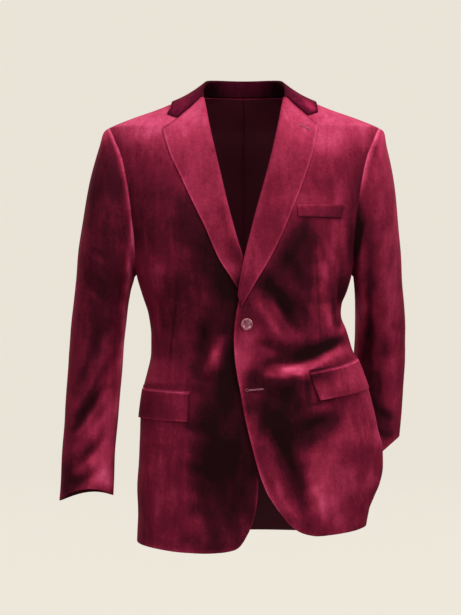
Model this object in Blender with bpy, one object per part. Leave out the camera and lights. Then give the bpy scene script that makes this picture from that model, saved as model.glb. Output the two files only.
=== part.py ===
# Velvet sport coat with notch lapels, hollow and filled out as it is worn.
# The body's cloth lies on rings worked out by height. Each panel takes its points from those rings,
# and what lies on a panel (lapel, flap, jet, welt) takes the same points, moved out.
# Frame: +X to the wearer's left, the front faces -Y, +Z up, origin at the base of the neck.
# Tables are in millimetres and degrees. "Own" x runs from the centre front towards the piece's own side.

import math
from collections import namedtuple

import bmesh
import bpy
import numpy as np

MM = 0.001

# Cloth and seams
CLOTH = 1.8              # velvet with its canvas
SEAM = 0.3               # gap between two sewn edges
LIE = 0.9                # gap under a flap, jet or welt that lies on a panel
LAPEL_LIE = 1.2          # gap under a lapel's outer part
COLLAR_LIE = 1.3         # gap under the collar's leaf
ROUNDNESS = 2.3          # power of the rings' outline, 2 being an ellipse
OVERLAP_INSET = 6.8      # how far the under front lies inside the top front
OVERLAP_SIDE = (58, 20)  # own x where that inset starts and where it is whole
OVERLAP_TOP = (-232, -285)
SHARP = math.radians(50) # edges sharper than this are not shaded smooth

# Heights that several pieces share
NECK_TOP = 6.0           # upper end of the fronts, beside the neck
NAPE_TOP = 8.0           # upper edge of the backs
SHOULDER_TIP = -48.0
LEVEL_ROWS_END = -520.0  # rows are level down to here
HEM_BEND_START = -480.0  # from here down, the middles of rows bend to follow the hem

# Armhole: an oval in height and depth that is laid on the body
ARMHOLE_BOTTOM = -297.0
ARMHOLE_HALF_DEPTH = 62.0
ARMHOLE_POINTS = 28
ARMHOLE_FADE = 3         # power that fades the armhole's curve out of the side body's rows
FRONT_JOIN = 10          # armhole point where front and side body meet
BACK_JOIN = 19           # armhole point where side body and back meet
SLEEVE_FRONT_SEAM = 11
SLEEVE_BACK_SEAM = 20

# Grid sizes
SHOULDER_ROWS = 6
LEVEL_ROWS = 11          # below the armhole, down to where rows bend
HEM_ROWS = 7
FRONT_COLUMNS = 15
FRONT_SPREAD = 1.2       # above 1, columns crowd towards the front edge
BACK_COLUMNS = 9
SLEEVE_RINGS = 21
ELBOW_ROW = 9            # the upper sleeve, one cut of cloth, is parted here into two solids
LAPEL_ROWS = 15
LAPEL_STRIPS = 7
COLLAR_STATIONS = 29
FLAP_GRID = (6, 11)      # rows and columns
WELT_GRID = (3, 9)

Ring = namedtuple("Ring", "height half_width front back")
BODY = [
    Ring(36, 24, 10, 32),
    Ring(12, 76, 34, 56),
    Ring(8, 86, 40, 60),
    Ring(-4, 116, 55, 70),
    Ring(-22, 161, 69, 81),
    Ring(-40, 208, 79, 90),
    Ring(-48, 229, 83, 93),
    Ring(-70, 230, 93, 99),
    Ring(-100, 226, 104, 106),
    Ring(-150, 216, 118, 116),
    Ring(-200, 205, 128, 121),
    Ring(-250, 193, 134, 122),
    Ring(-297, 182, 136, 120),
    Ring(-331, 171, 134, 116),
    Ring(-368, 161, 131, 112),
    Ring(-399, 158, 128, 110),
    Ring(-428, 158.5, 127, 111),
    Ring(-464, 165, 128, 115),
    Ring(-493, 171, 130, 119),
    Ring(-547, 176.5, 133, 126),
    Ring(-647, 180, 137, 136),
    Ring(-760, 181, 140, 142),
]

# The left skirt is swept out over the wrist, in front of the sleeve.
Flare = namedtuple("Flare", "height out")
LEFT_FLARE = [
    Flare(-345, 0),
    Flare(-368, 8),
    Flare(-391, 19),
    Flare(-423, 29),
    Flare(-443, 37),
    Flare(-483, 44),
    Flare(-523, 50),
    Flare(-556, 56),
    Flare(-588, 64),
    Flare(-618, 63),
    Flare(-648, 57),
    Flare(-673, 46),
    Flare(-707, 30),
    Flare(-730, 24),
]
FLARE_WHOLE = math.radians(72)   # the flare is whole from the centre front to here
FLARE_NONE = math.radians(112)   # and gone from here to the centre back

# Inner edge of each front: roll line, then the front edge down to its rounded corner.
Edge = namedtuple("Edge", "height own_x")
LEFT_EDGE = [
    Edge(6, 72), Edge(-2, 69), Edge(-55, 58), Edge(-129, 40.5), Edge(-205, 19.5), Edge(-275, 2.6),
    Edge(-340, -9.5), Edge(-381, -16.3), Edge(-407, -17.6), Edge(-437, -16), Edge(-466, -12),
    Edge(-491, -7), Edge(-531, 0), Edge(-581, 12), Edge(-624, 24), Edge(-656, 36.5), Edge(-682, 53),
]
RIGHT_EDGE = [
    Edge(6, 73), Edge(-2, 70.5), Edge(-56, 60), Edge(-125, 44.3), Edge(-187, 29.8), Edge(-253, 11.4),
    Edge(-300, -4), Edge(-345, -16), Edge(-390, -22), Edge(-625, -23.2), Edge(-650, -23),
    Edge(-680, -20), Edge(-705, -14), Edge(-722, -7),
]

# Hem of each front from the rounded corner to the side.
Hem = namedtuple("Hem", "own_x height")
LEFT_HEM = [
    Hem(53, -682), Hem(72, -706), Hem(89, -720.5), Hem(106, -727), Hem(121, -729.5), Hem(146, -727.5),
    Hem(172, -724), Hem(205, -719),
]
RIGHT_HEM = [
    Hem(-7, -722), Hem(6.6, -744), Hem(17, -751), Hem(39, -755), Hem(72, -756.5), Hem(105, -756),
    Hem(144, -753), Hem(182, -749),
]
BACK_HEM = -745.0
LEFT_VENT_TOP = -440.0
LEFT_VENT_HEM = -717.0   # foot of the left side body's free edge

# Lines of the side body's two seams, by depth. On the left the back one opens into a vent.
SideSeam = namedtuple("SideSeam", "height left_front right_front left_back right_back back_edge")
SIDE_SEAMS = [
    SideSeam(-200, -49, -49, 56, 56, 56),
    SideSeam(-250, -49, -49, 55, 55, 55),
    SideSeam(-340, -58, -58, 52, 52, 52),
    SideSeam(-400, -62, -60, 50, 50, 50),
    SideSeam(-425, -64, -61, 50, 50, 50),
    SideSeam(-445, -67, -61, 38, 50, 50),
    SideSeam(-470, -72, -62, 6, 51, 51),
    SideSeam(-500, -80, -63, -14, 52, 52),
    SideSeam(-590, -88, -65, -26, 55, 55),
    SideSeam(-760, -82, -66, -20, 58, 58),
]

# Each lapel: roll line and outer edge, from the gorge down to the break.
LapelRow = namedtuple("LapelRow", "roll_z edge_x edge_z")
LAPELS = {
    "left": [
        LapelRow(-3.2, 122.5, -48), LapelRow(-45, 113.5, -94), LapelRow(-100, 97, -145),
        LapelRow(-155, 82, -183), LapelRow(-205, 59, -237), LapelRow(-252, 40, -275),
        LapelRow(-300, 20, -308), LapelRow(-338, -5, -351),
    ],
    "right": [
        LapelRow(-3.2, 136, -54), LapelRow(-46, 123, -98), LapelRow(-97, 109, -128),
        LapelRow(-145, 87, -175), LapelRow(-196, 64, -222), LapelRow(-246, 41, -275),
        LapelRow(-280, 25, -300), LapelRow(-308, 11, -322),
    ],
}
LAPEL_ROLL = 3.4         # height of the soft roll beside the crease
LAPEL_ROLL_WIDTH = 16.0
LAPEL_FIRST = 0.12       # share of the width where the flat part starts
BREAK_ROWS = 5           # rows over which the roll gets flatter towards the break
BREAK_RISE = 0.35        # share of the roll that is left at the break
GORGE_ROWS = 4           # rows over which the top edge's dip fades

# The wrap at the crease: distance past the roll line and distance out of the cloth.
CREASE = [(-1.7, -1.1), (-2.4, 1.0), (-1.0, 3.0), (2.6, 4.1)]
CREASE_SHARE = 0.4       # most of a row's width that the wrap takes up

# Collar, one half: crease, leaf edge on the body (degrees round from the front) and foot of the stand.
CollarRow = namedtuple("CollarRow", "crease_x crease_y crease_z edge_angle edge_z foot_x foot_y foot_z")
COLLAR = [
    CollarRow(70, -46, -0.4, 42, -28, 68.5, -43.5, -0.8),
    CollarRow(70, -33, 12, 53, -17, 71, -28.5, 8.6),
    CollarRow(67.5, -14, 23, 73.5, -8, 82.5, -13, 8.6),
    CollarRow(62.5, 6, 31.5, 90, -4.5, 83.5, 4, 8.7),
    CollarRow(51, 30, 35, 118, -8, 70.5, 31, 8.7),
    CollarRow(28, 51, 37, 150, -12, 38.5, 51.5, 8.7),
    CollarRow(0, 58, 37.5, 180, -15, 0, 59, 8.7),
]
COLLAR_FOLD = 1.6        # inside width of the fold between stand and fall
COLLAR_SAG = -3.0        # the fall is a little hollow between crease and edge
STAND_POINTS = 3
FALL_POINTS = 7
GORGE_START = 0.06       # share of the gorge where the leaf leaves the crease

# Notch and collar tip on each side, own x and height.
# The sag is how far the lapel's top edge dips at the notch.
Notch = namedtuple("Notch", "x z tip_x tip_z sag")
NOTCHES = {"left": Notch(106, -32.6, 123.5, -26, 0.0), "right": Notch(111.5, -36.2, 129, -29.5, 2.6)}

# Sleeves: outer and inner points of each ring, its middle and half size front to back,
# and how much its front arches up.
CUFF_TILT = 0.35         # share of the arch that tilts the ring, the rest bows it
HEAD_RUN = 6.0           # way from the armhole seam to the first ring
HEAD_ROLL = 2.0          # way to the row where the sleeve head rolls over
SleeveRing = namedtuple("SleeveRing", "outer_x outer_z inner_x inner_z middle_y half_depth lift")
SLEEVES = {
    "right": [
        SleeveRing(238, -53, 186, -301, 0, 66, 0),
        SleeveRing(246, -78, 187.5, -306, 1, 69, 0),
        SleeveRing(254, -110, 189.5, -313, 2, 72, 0),
        SleeveRing(263, -147, 192, -322, 3, 74, 0),
        SleeveRing(271, -187, 194, -334, 4, 74, 0),
        SleeveRing(279, -238, 197, -352, 5, 72, 0),
        SleeveRing(285.5, -294, 200, -376, 5, 69, 0),
        SleeveRing(290.5, -348, 203, -404, 4, 66, 0),
        SleeveRing(295, -402, 206, -438, 2, 62, 0),
        SleeveRing(299, -455, 209, -474, -2, 59, 0),
        SleeveRing(303, -511, 212, -515, -8, 55, 3),
        SleeveRing(306.5, -570, 215, -566, -16, 51, 7),
        SleeveRing(309, -628, 217.5, -619, -24, 48, 13),
        SleeveRing(311, -678, 219, -669, -30, 46, 18),
    ],
    "left": [
        SleeveRing(238, -53, 186, -301, 0, 66, 0),
        SleeveRing(243.5, -80, 187, -306, 3, 69, 0),
        SleeveRing(250, -114, 188, -313, 8, 72, 0),
        SleeveRing(257, -154, 189, -323, 16, 74, 0),
        SleeveRing(263, -200, 190, -336, 27, 74, 0),
        SleeveRing(268.5, -250, 191, -353, 41, 72, 0),
        SleeveRing(274, -300, 192, -376, 56, 69, 0),
        SleeveRing(278.5, -350, 192.5, -402, 71, 66, 0),
        SleeveRing(281, -396, 192, -430, 83, 62, 2),
        SleeveRing(281, -438, 190.5, -466, 89, 58, 4),
        SleeveRing(278.5, -484, 189, -510, 86, 54, 6),
        SleeveRing(274, -530, 188.5, -572, 71, 50, 4),
        SleeveRing(268.5, -574, 189, -638, 50, 46, 3),
    ],
}

# Hip pocket flaps and jets: angle and height of the four corners.
Flap = namedtuple("Flap", "front_top_angle front_top back_top_angle back_top "
                          "front_low_angle front_low back_low_angle back_low curl")
FLAPS = {
    "left": Flap(27.6, -462, 74, -440, 30.5, -506, 71.5, -489, 5.0),
    "right": Flap(28.3, -493, 82, -489, 28.0, -541, 83, -538, 0.0),
}
FLAP_STAND = 1.6         # how far the flap's lower edge stands off
FLAP_STAND_POWER = 1.5
CURL_ACROSS = 4          # powers that keep the curl to the front lower corner
CURL_DOWN = 3
JET_HEIGHT = 6.0
WELT_CORNERS = Flap(21.2, -183.5, 51.0, -182, 22.2, -204, 49.5, -205.5, 0.0)

# Folds and darts: soft ridges (+) and troughs (-) between two points, own x and height.
FOLD_BEFORE = 0.15       # share of its length over which a fold starts before its first point
FOLD_WHOLE = 0.25        # and share after which it is whole
FOLD_FACING = (0.05, 0.45)   # how far a sleeve's face must turn to the front or back to take its folds
Fold = namedtuple("Fold", "panel from_x from_z to_x to_z width rise")
FOLDS = [
    Fold("front_left", 24, -458, 172, -406, 18, 5.0),
    Fold("front_left", 36, -424, 164, -378, 18, -4.0),
    Fold("front_left", 40, -330, 84, -420, 15, -3.0),
    Fold("front_left", 148, -252, 158, -330, 16, 3.5),
    Fold("front_left", 40, -545, 78, -670, 24, -4.5),
    Fold("front_left", 95, -545, 128, -700, 24, 4.5),
    Fold("front_left", 150, -550, 172, -700, 22, -4.0),
    Fold("front_right", 34, -395, 58, -472, 16, 3.5),
    Fold("front_right", 64, -352, 86, -440, 16, -2.5),
    Fold("front_right", 30, -580, 44, -745, 26, -4.0),
    Fold("front_right", 82, -580, 88, -745, 26, 3.5),
    Fold("front_right", 128, -590, 132, -745, 22, -3.0),
    Fold("back_left", 50, -330, 130, -366, 18, -3.5),
    Fold("back_left", 56, -372, 130, -404, 18, 3.5),
    Fold("back_left", 78, -480, 92, -740, 26, 4.0),
    Fold("back_right", 46, -345, 126, -362, 18, -3.0),
    Fold("back_right", 52, -384, 126, -398, 18, 3.0),
    Fold("back_right", 84, -500, 96, -740, 26, 3.5),
    Fold("sleeve_right_front", 214, -392, 292, -560, 15, 3.5),
    Fold("sleeve_right_front", 228, -366, 296, -496, 15, -3.5),
    Fold("sleeve_right_front", 212, -456, 276, -606, 14, -3.0),
    Fold("sleeve_right_back", 222, -400, 290, -450, 16, -3.5),
    Fold("sleeve_right_back", 216, -440, 286, -486, 16, 3.5),
    Fold("sleeve_left_front", 200, -420, 262, -452, 15, -4.0),
    Fold("sleeve_left_front", 198, -456, 268, -488, 15, 3.5),
    Fold("sleeve_left_front", 216, -240, 222, -420, 13, -3.0),
    Fold("sleeve_left_back", 210, -390, 276, -420, 16, 3.0),
    Fold("sleeve_left_back", 206, -470, 268, -500, 16, -3.0),
]

# Buttons: own x and height on the left side, and the turned outline of one.
BUTTON_UPPER = (4.0, -380.0)
BUTTON_LOWER = (14.0, -482.0)
BUTTON_SIDES = 20
BUTTON_PROFILE = [(8.6, 0.0), (9.8, 0.9), (10.0, 2.0), (9.4, 3.0), (8.0, 3.3), (6.8, 2.6), (3.0, 2.2)]
BUTTON_LOW_PROFILE_SCALE = 0.8   # the hidden lower button is thinner, so that it clears the top front

VELVET = ((0.20, 0.012, 0.035, 1.0), 0.75)
VELVET_DARK = ((0.13, 0.006, 0.03, 1.0), 0.75)
HORN = ((0.12, 0.012, 0.028, 1.0), 0.35)


def smooth(at, keys, values):
    """Smooth curve through the values at rising or falling keys, without overshoot."""
    keys = np.asarray(keys, float)
    values = np.asarray(values, float)
    order = np.argsort(keys)
    keys, values = keys[order], values[order]
    wide = (-1,) + (1,) * (values.ndim - 1)
    step = np.diff(keys)
    slope = np.diff(values, axis=0) / step.reshape(wide)
    both = slope[:-1] * slope[1:]
    total = slope[:-1] + slope[1:]
    tangent = np.zeros_like(values)
    tangent[1:-1] = np.where(both > 0, 2 * both / np.where(total == 0, 1, total), 0)
    tangent[0], tangent[-1] = slope[0], slope[-1]
    at = np.clip(np.asarray(at, float), keys[0], keys[-1])
    i = np.clip(np.searchsorted(keys, at) - 1, 0, len(keys) - 2)
    extra = (1,) * (values.ndim - 1)
    s = ((at - keys[i]) / step[i]).reshape(at.shape + extra)
    h = step[i].reshape(at.shape + extra)
    return ((1 + 2 * s) * (1 - s) ** 2 * values[i] + s * (1 - s) ** 2 * h * tangent[i]
            + s * s * (3 - 2 * s) * values[i + 1] + s * s * (s - 1) * h * tangent[i + 1])


def column(table, name):
    return [getattr(row, name) for row in table]


def ease(start, end, at):
    """0 before start, 1 after end, smooth between; start may be above end."""
    s = np.clip((np.asarray(at, float) - start) / (end - start), 0, 1)
    return s * s * (3 - 2 * s)


def sign_of(side):
    return 1.0 if side == "left" else -1.0


def half_width(side, angle, height):
    half = smooth(height, column(BODY, "height"), column(BODY, "half_width"))
    if side == "right":
        return half
    out = smooth(height, column(LEFT_FLARE, "height"), column(LEFT_FLARE, "out"))
    return half + out * (1 - ease(FLARE_WHOLE, FLARE_NONE, angle))


def depth_at(height, back):
    front = smooth(height, column(BODY, "height"), column(BODY, "front"))
    return np.where(back, smooth(height, column(BODY, "height"), column(BODY, "back")), front)


def ring_point(side, angle, height):
    """Point of the body's outer face in own x: angle 0 is the centre front, 180 degrees the centre back."""
    angle, height = np.broadcast_arrays(np.asarray(angle, float), np.asarray(height, float))
    power = 2 / ROUNDNESS
    sine, cosine = np.sin(angle), np.cos(angle)
    x = half_width(side, angle, height) * np.sign(sine) * np.abs(sine) ** power
    y = -depth_at(height, cosine < 0) * np.sign(cosine) * np.abs(cosine) ** power
    return np.stack([x, y, height], -1)


def ring_normal(side, angle, height):
    turn, rise = 0.01, 0.5
    round_it = ring_point(side, angle + turn, height) - ring_point(side, angle - turn, height)
    up_it = ring_point(side, angle, height + rise) - ring_point(side, angle, height - rise)
    normal = np.cross(round_it, up_it)
    return normal / np.linalg.norm(normal, axis=-1, keepdims=True)


def angle_at_x(side, x, height):
    """Angle on the front where own x is met."""
    x = np.asarray(x, float)
    part = np.clip(np.abs(x) / half_width(side, np.zeros_like(x), height), 0, 1)
    return np.sign(x) * np.arcsin(part ** (ROUNDNESS / 2))


def angle_at_y(y, height):
    y = np.asarray(y, float)
    part = np.clip(np.abs(y) / depth_at(height, y > 0), 0, 1)
    front = np.arccos(part ** (ROUNDNESS / 2))
    return np.where(y > 0, math.pi - front, front)


def slid(side, angle, height, distance):
    """The angle after a short way along the ring."""
    turn = 0.005
    run = ring_point(side, angle + turn, height) - ring_point(side, angle - turn, height)
    return angle + distance * 2 * turn / np.linalg.norm(run, axis=-1)


def fold_rise(panel, x, z):
    """Height of the panel's folds at own x and height."""
    total = np.zeros_like(x)
    for fold in FOLDS:
        if fold.panel != panel:
            continue
        run_x, run_z = fold.to_x - fold.from_x, fold.to_z - fold.from_z
        length = math.hypot(run_x, run_z)
        along = ((x - fold.from_x) * run_x + (z - fold.from_z) * run_z) / length
        across = ((x - fold.from_x) * run_z - (z - fold.from_z) * run_x) / length
        before, whole = FOLD_BEFORE * length, FOLD_WHOLE * length
        taper = ease(-before, whole, along) * ease(length + before, length - whole, along)
        total += fold.rise * taper * np.exp(-(across / fold.width) ** 2)
    return total


def front_face(side, angle, height, out=0.0):
    """Point on a front's outer face, moved out: rings, overlap inset and folds."""
    base = ring_point(side, angle, height)
    x, z = base[..., 0], base[..., 2]
    move = out + fold_rise("front_" + side, x, z)
    if side == "right":
        move = move - OVERLAP_INSET * ease(*OVERLAP_SIDE, x) * ease(*OVERLAP_TOP, z)
    return base + ring_normal(side, angle, height) * np.asarray(move)[..., None]


def front_at(side, x, z, out=0.0):
    return front_face(side, angle_at_x(side, x, z), z, out)


def plain_face(panel, side, angle, height, out=0.0):
    """Point on a back's or side body's outer face, moved out."""
    base = ring_point(side, angle, height)
    move = out + fold_rise(panel, base[..., 0], base[..., 2])
    return base + ring_normal(side, angle, height) * move[..., None]


def armhole(side, turn):
    """Angle and height on the body at a turn round the armhole; 0 is the top, 90 degrees the front."""
    middle = (SHOULDER_TIP + ARMHOLE_BOTTOM) / 2
    half = (SHOULDER_TIP - ARMHOLE_BOTTOM) / 2
    height = middle + half * np.cos(turn)
    return angle_at_y(-ARMHOLE_HALF_DEPTH * np.sin(turn), height), height


def armhole_turn(point):
    return 2 * math.pi * np.asarray(point, float) / ARMHOLE_POINTS


def patch(left, right, bottom, weight, spread):
    """Rows of (angle, height) from left to right, bent by their weight towards the bottom line."""
    rows = left[:, None] * (1 - spread)[None, :, None] + right[:, None] * spread[None, :, None]
    straight = bottom[0] * (1 - spread)[:, None] + bottom[-1] * spread[:, None]
    return rows + weight[:, None, None] * (bottom - straight)[None]


def material(name, finish):
    colour, roughness = finish
    made = bpy.data.materials.new(name)
    made.use_nodes = True
    shader = made.node_tree.nodes["Principled BSDF"]
    shader.inputs["Base Color"].default_value = colour
    shader.inputs["Roughness"].default_value = roughness
    shader.inputs["Metallic"].default_value = 0.0
    made.diffuse_color = colour
    return made


def add_object(name, points, faces, finish, side="left"):
    """Closed mesh from points in own x, mirrored for the right side."""
    points = np.asarray(points, float) * MM
    points[:, 0] *= sign_of(side)
    mesh = bpy.data.meshes.new(name)
    mesh.from_pydata(points.tolist(), [], faces)
    form = bmesh.new()
    form.from_mesh(mesh)
    bmesh.ops.recalc_face_normals(form, faces=form.faces)
    form.to_mesh(mesh)
    form.free()
    mesh.shade_smooth()
    mesh.set_sharp_from_angle(angle=SHARP)
    mesh.materials.append(material(name, finish))
    made = bpy.data.objects.new(name, mesh)
    bpy.context.scene.collection.objects.link(made)
    return made


def wall(name, outer, inner, finish=VELVET, side="left"):
    """Solid between two grids of the same size, closed round its rim."""
    rows, columns = outer.shape[:2]
    count = rows * columns
    points = np.concatenate([outer.reshape(-1, 3), inner.reshape(-1, 3)])
    at = np.arange(count).reshape(rows, columns)
    faces = []
    for r in range(rows - 1):
        for c in range(columns - 1):
            a, b, d, e = at[r, c], at[r, c + 1], at[r + 1, c + 1], at[r + 1, c]
            faces.append((a, b, d, e))
            faces.append((e + count, d + count, b + count, a + count))
    rim = [*at[0, :-1], *at[:-1, -1], *at[-1, :0:-1], *at[:0:-1, 0]]
    for a, b in zip(rim, rim[1:] + rim[:1]):
        faces.append((b, a, a + count, b + count))
    faces = [tuple(int(i) for i in face) for face in faces]
    return add_object(name, points, faces, finish, side)


def grid_normals(grid):
    normal = np.cross(np.gradient(grid, axis=1), np.gradient(grid, axis=0))
    return normal / np.linalg.norm(normal, axis=-1, keepdims=True)


def seam_line(side, name, heights, slide):
    """Angles of one of the side body's seam lines, slid by half the seam's gap."""
    y = smooth(heights, column(SIDE_SEAMS, "height"), column(SIDE_SEAMS, name))
    return slid(side, angle_at_y(y, heights), heights, slide)


def front_seam_heights(side):
    """Rows of the seam between front and side body, from the armhole to the hem."""
    hem = LEFT_HEM if side == "left" else RIGHT_HEM
    top = float(armhole(side, armhole_turn(FRONT_JOIN))[1])
    foot = hem[-2].height
    for _ in range(3):
        angle = seam_line(side, side + "_front", np.array([foot]), 0.0)
        x = ring_point(side, angle, np.array([foot]))[0, 0]
        foot = float(smooth(x, column(hem, "own_x"), column(hem, "height")))
    level = np.linspace(top, LEVEL_ROWS_END, LEVEL_ROWS + 1)
    return np.concatenate([level, np.linspace(LEVEL_ROWS_END, foot, HEM_ROWS + 1)[1:]])


def back_seam_heights():
    """Rows of the seam between side body and back, as many as on the front seam."""
    top = float(armhole("right", armhole_turn(BACK_JOIN))[1])
    return np.linspace(top, BACK_HEM, LEVEL_ROWS + HEM_ROWS + 1)


def front(side):
    edge = LEFT_EDGE if side == "left" else RIGHT_EDGE
    hem = LEFT_HEM if side == "left" else RIGHT_HEM
    corner_z = edge[-1].height
    shoulder = np.linspace(NECK_TOP, SHOULDER_TIP, SHOULDER_ROWS)
    arm_angle, arm_z = armhole(side, armhole_turn(range(1, FRONT_JOIN)))
    seam_z = front_seam_heights(side)

    right_z = np.concatenate([shoulder, arm_z, seam_z])
    ridge = slid(side, np.full(SHOULDER_ROWS, math.pi / 2), shoulder, -SEAM / 2)
    right_angle = np.concatenate([ridge, arm_angle, seam_line(side, side + "_front", seam_z, -SEAM / 2)])

    below = np.linspace(LEVEL_ROWS_END, corner_z, HEM_ROWS + 1)[1:]
    left_z = np.concatenate([right_z[:-HEM_ROWS], below])
    left_angle = angle_at_x(side, smooth(left_z, column(edge, "height"), column(edge, "own_x")), left_z)

    spread = np.linspace(0, 1, FRONT_COLUMNS) ** FRONT_SPREAD
    seam_x = ring_point(side, right_angle[-1:], right_z[-1:])[0, 0]
    hem_x = edge[-1].own_x + (seam_x - edge[-1].own_x) * spread
    hem_z = smooth(hem_x, column(hem, "own_x"), column(hem, "height"))
    hem_angle = angle_at_x(side, hem_x, hem_z)
    weight = ease(HEM_BEND_START, corner_z, left_z)

    grid = patch(np.stack([left_angle, left_z], -1), np.stack([right_angle, right_z], -1),
                 np.stack([hem_angle, hem_z], -1), weight, spread)
    outer = front_face(side, grid[..., 0], grid[..., 1])
    inner = front_face(side, grid[..., 0], grid[..., 1], -CLOTH)
    wall("front_" + side, outer, inner, side=side)


def side_body(side):
    arm_angle, arm_z = armhole(side, armhole_turn(range(FRONT_JOIN, BACK_JOIN + 1)))
    spread = np.linspace(0, 1, len(arm_angle))
    front_z = front_seam_heights(side)
    back_z = back_seam_heights()
    if side == "left":
        shorter = (LEFT_VENT_HEM - LEFT_VENT_TOP) / (BACK_HEM - LEFT_VENT_TOP)
        back_z = np.where(back_z < LEFT_VENT_TOP, LEFT_VENT_TOP + (back_z - LEFT_VENT_TOP) * shorter, back_z)
    left = np.stack([seam_line(side, side + "_front", front_z, SEAM / 2), front_z], -1)
    right = np.stack([seam_line(side, side + "_back", back_z, -SEAM / 2), back_z], -1)
    top = np.stack([arm_angle, arm_z], -1)
    top[0], top[-1] = left[0], right[0]
    weight = np.linspace(1, 0, len(front_z)) ** ARMHOLE_FADE
    rows = patch(left, right, top, weight, spread)
    panel = "side_body_" + side
    outer = plain_face(panel, side, rows[..., 0], rows[..., 1])
    inner = plain_face(panel, side, rows[..., 0], rows[..., 1], -CLOTH)
    wall(panel, outer, inner, side=side)


def back(side):
    shoulder = np.linspace(NAPE_TOP, SHOULDER_TIP, SHOULDER_ROWS)
    arm_angle, arm_z = armhole(side, armhole_turn(range(ARMHOLE_POINTS - 1, BACK_JOIN, -1)))
    seam_z = back_seam_heights()
    height = np.concatenate([shoulder, arm_z, seam_z])
    ridge = slid(side, np.full(SHOULDER_ROWS, math.pi / 2), shoulder, SEAM / 2)
    side_angle = np.concatenate([ridge, arm_angle, seam_line(side, "back_edge", seam_z, SEAM / 2)])
    centre = slid(side, np.full(len(height), math.pi), height, -SEAM / 2)
    spread = np.linspace(0, 1, BACK_COLUMNS)[None]
    angle = side_angle[:, None] * (1 - spread) + centre[:, None] * spread
    grid_z = np.repeat(height[:, None], BACK_COLUMNS, 1)
    panel = "back_" + side
    outer = plain_face(panel, side, angle, grid_z)
    inner = plain_face(panel, side, angle, grid_z, -CLOTH)
    wall(panel, outer, inner, side=side)


def lapel(side):
    rows = LAPELS[side]
    keys = np.arange(len(rows))
    at = np.linspace(0, len(rows) - 1, LAPEL_ROWS)
    front_edge = LEFT_EDGE if side == "left" else RIGHT_EDGE
    roll_z = smooth(at, keys, column(rows, "roll_z"))
    roll_x = smooth(roll_z, column(front_edge, "height"), column(front_edge, "own_x"))
    roll = np.stack([roll_x, roll_z], -1)
    edge = np.stack([smooth(at, keys, column(rows, "edge_x")), smooth(at, keys, column(rows, "edge_z"))], -1)
    run = edge - roll
    length = np.linalg.norm(run, axis=1, keepdims=True)
    across = run / length
    last = LAPEL_ROWS - 1
    taper = BREAK_RISE + (1 - BREAK_RISE) * ease(last, last - BREAK_ROWS, np.arange(LAPEL_ROWS))
    strips = []
    for past, out in CREASE:
        spot = roll + across * np.minimum(past, CREASE_SHARE * length)
        strips.append(front_at(side, spot[:, 0], spot[:, 1], out * taper))
    notch_part = (NOTCHES[side].x - roll_x[0]) / (rows[0].edge_x - roll_x[0])
    fade = ease(GORGE_ROWS, 0, np.arange(LAPEL_ROWS))
    for part in np.linspace(LAPEL_FIRST, 1, LAPEL_STRIPS):
        reach = CREASE[-1][0] + (length - CREASE[-1][0]) * part
        spot = roll + across * np.maximum(reach, CREASE_SHARE * length * part)
        dip = NOTCHES[side].sag * min(part / notch_part, (1 - part) / (1 - notch_part))
        bump = LAPEL_ROLL * taper * np.exp(-(reach[:, 0] / LAPEL_ROLL_WIDTH) ** 2)
        strips.append(front_at(side, spot[:, 0], spot[:, 1] - dip * fade, LAPEL_LIE + bump))
    under = np.stack(strips, 1)
    normal = grid_normals(under)
    normal *= np.where(normal[..., 1:2].mean() > 0, -1, 1)
    wall("lapel_" + side, under + normal * CLOTH, under, side=side)


def collar_section(row, side, gorge):
    """Points from the foot of the stand up to the crease and down to the leaf's edge, in own x."""
    foot = np.array([row.foot_x, row.foot_y, row.foot_z])
    crease = np.array([row.crease_x, row.crease_y, row.crease_z])
    stand = [foot + (crease - foot) * part for part in np.linspace(0, 1, STAND_POINTS)]
    if gorge:
        notch = NOTCHES[side]
        start = np.array([row.crease_x, row.crease_z])
        spots = [start + (np.array([notch.x, notch.z]) - start) * part
                 for part in np.linspace(GORGE_START, 1, FALL_POINTS - 1)]
        spots.append(np.array([notch.tip_x, notch.tip_z]))
        fall = [front_at(side, spot[0], spot[1], COLLAR_LIE) for spot in spots]
        return np.array(stand + fall)
    edge = ring_point("right", math.radians(row.edge_angle), row.edge_z)
    edge = edge + ring_normal("right", math.radians(row.edge_angle), row.edge_z) * COLLAR_LIE
    out = (edge - crease) / np.linalg.norm(edge - crease)
    top = crease + out * COLLAR_FOLD
    fall = []
    for part in np.linspace(0, 1, FALL_POINTS):
        spot = top + (edge - top) * part
        spot[2] += COLLAR_SAG * math.sin(math.pi * part)
        fall.append(spot)
    return np.array(stand + fall)


def clear_of_body(points, gap):
    """Points pushed out to lie at least a gap off the body's rings."""
    x, y, z = points[..., 0], points[..., 1], points[..., 2]

    def measure(x, y, z):
        half = smooth(z, column(BODY, "height"), column(BODY, "half_width"))
        return (np.abs(x) / half) ** ROUNDNESS + (np.abs(y) / depth_at(z, y > 0)) ** ROUNDNESS - 1

    step = 0.25
    slope = np.stack([measure(x + step, y, z) - measure(x - step, y, z),
                      measure(x, y + step, z) - measure(x, y - step, z),
                      measure(x, y, z + step) - measure(x, y, z - step)], -1) / (2 * step)
    size = np.linalg.norm(slope, axis=-1)
    short = np.maximum(gap - measure(x, y, z) / size, 0)
    return points + slope / size[..., None] * short[..., None]


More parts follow.
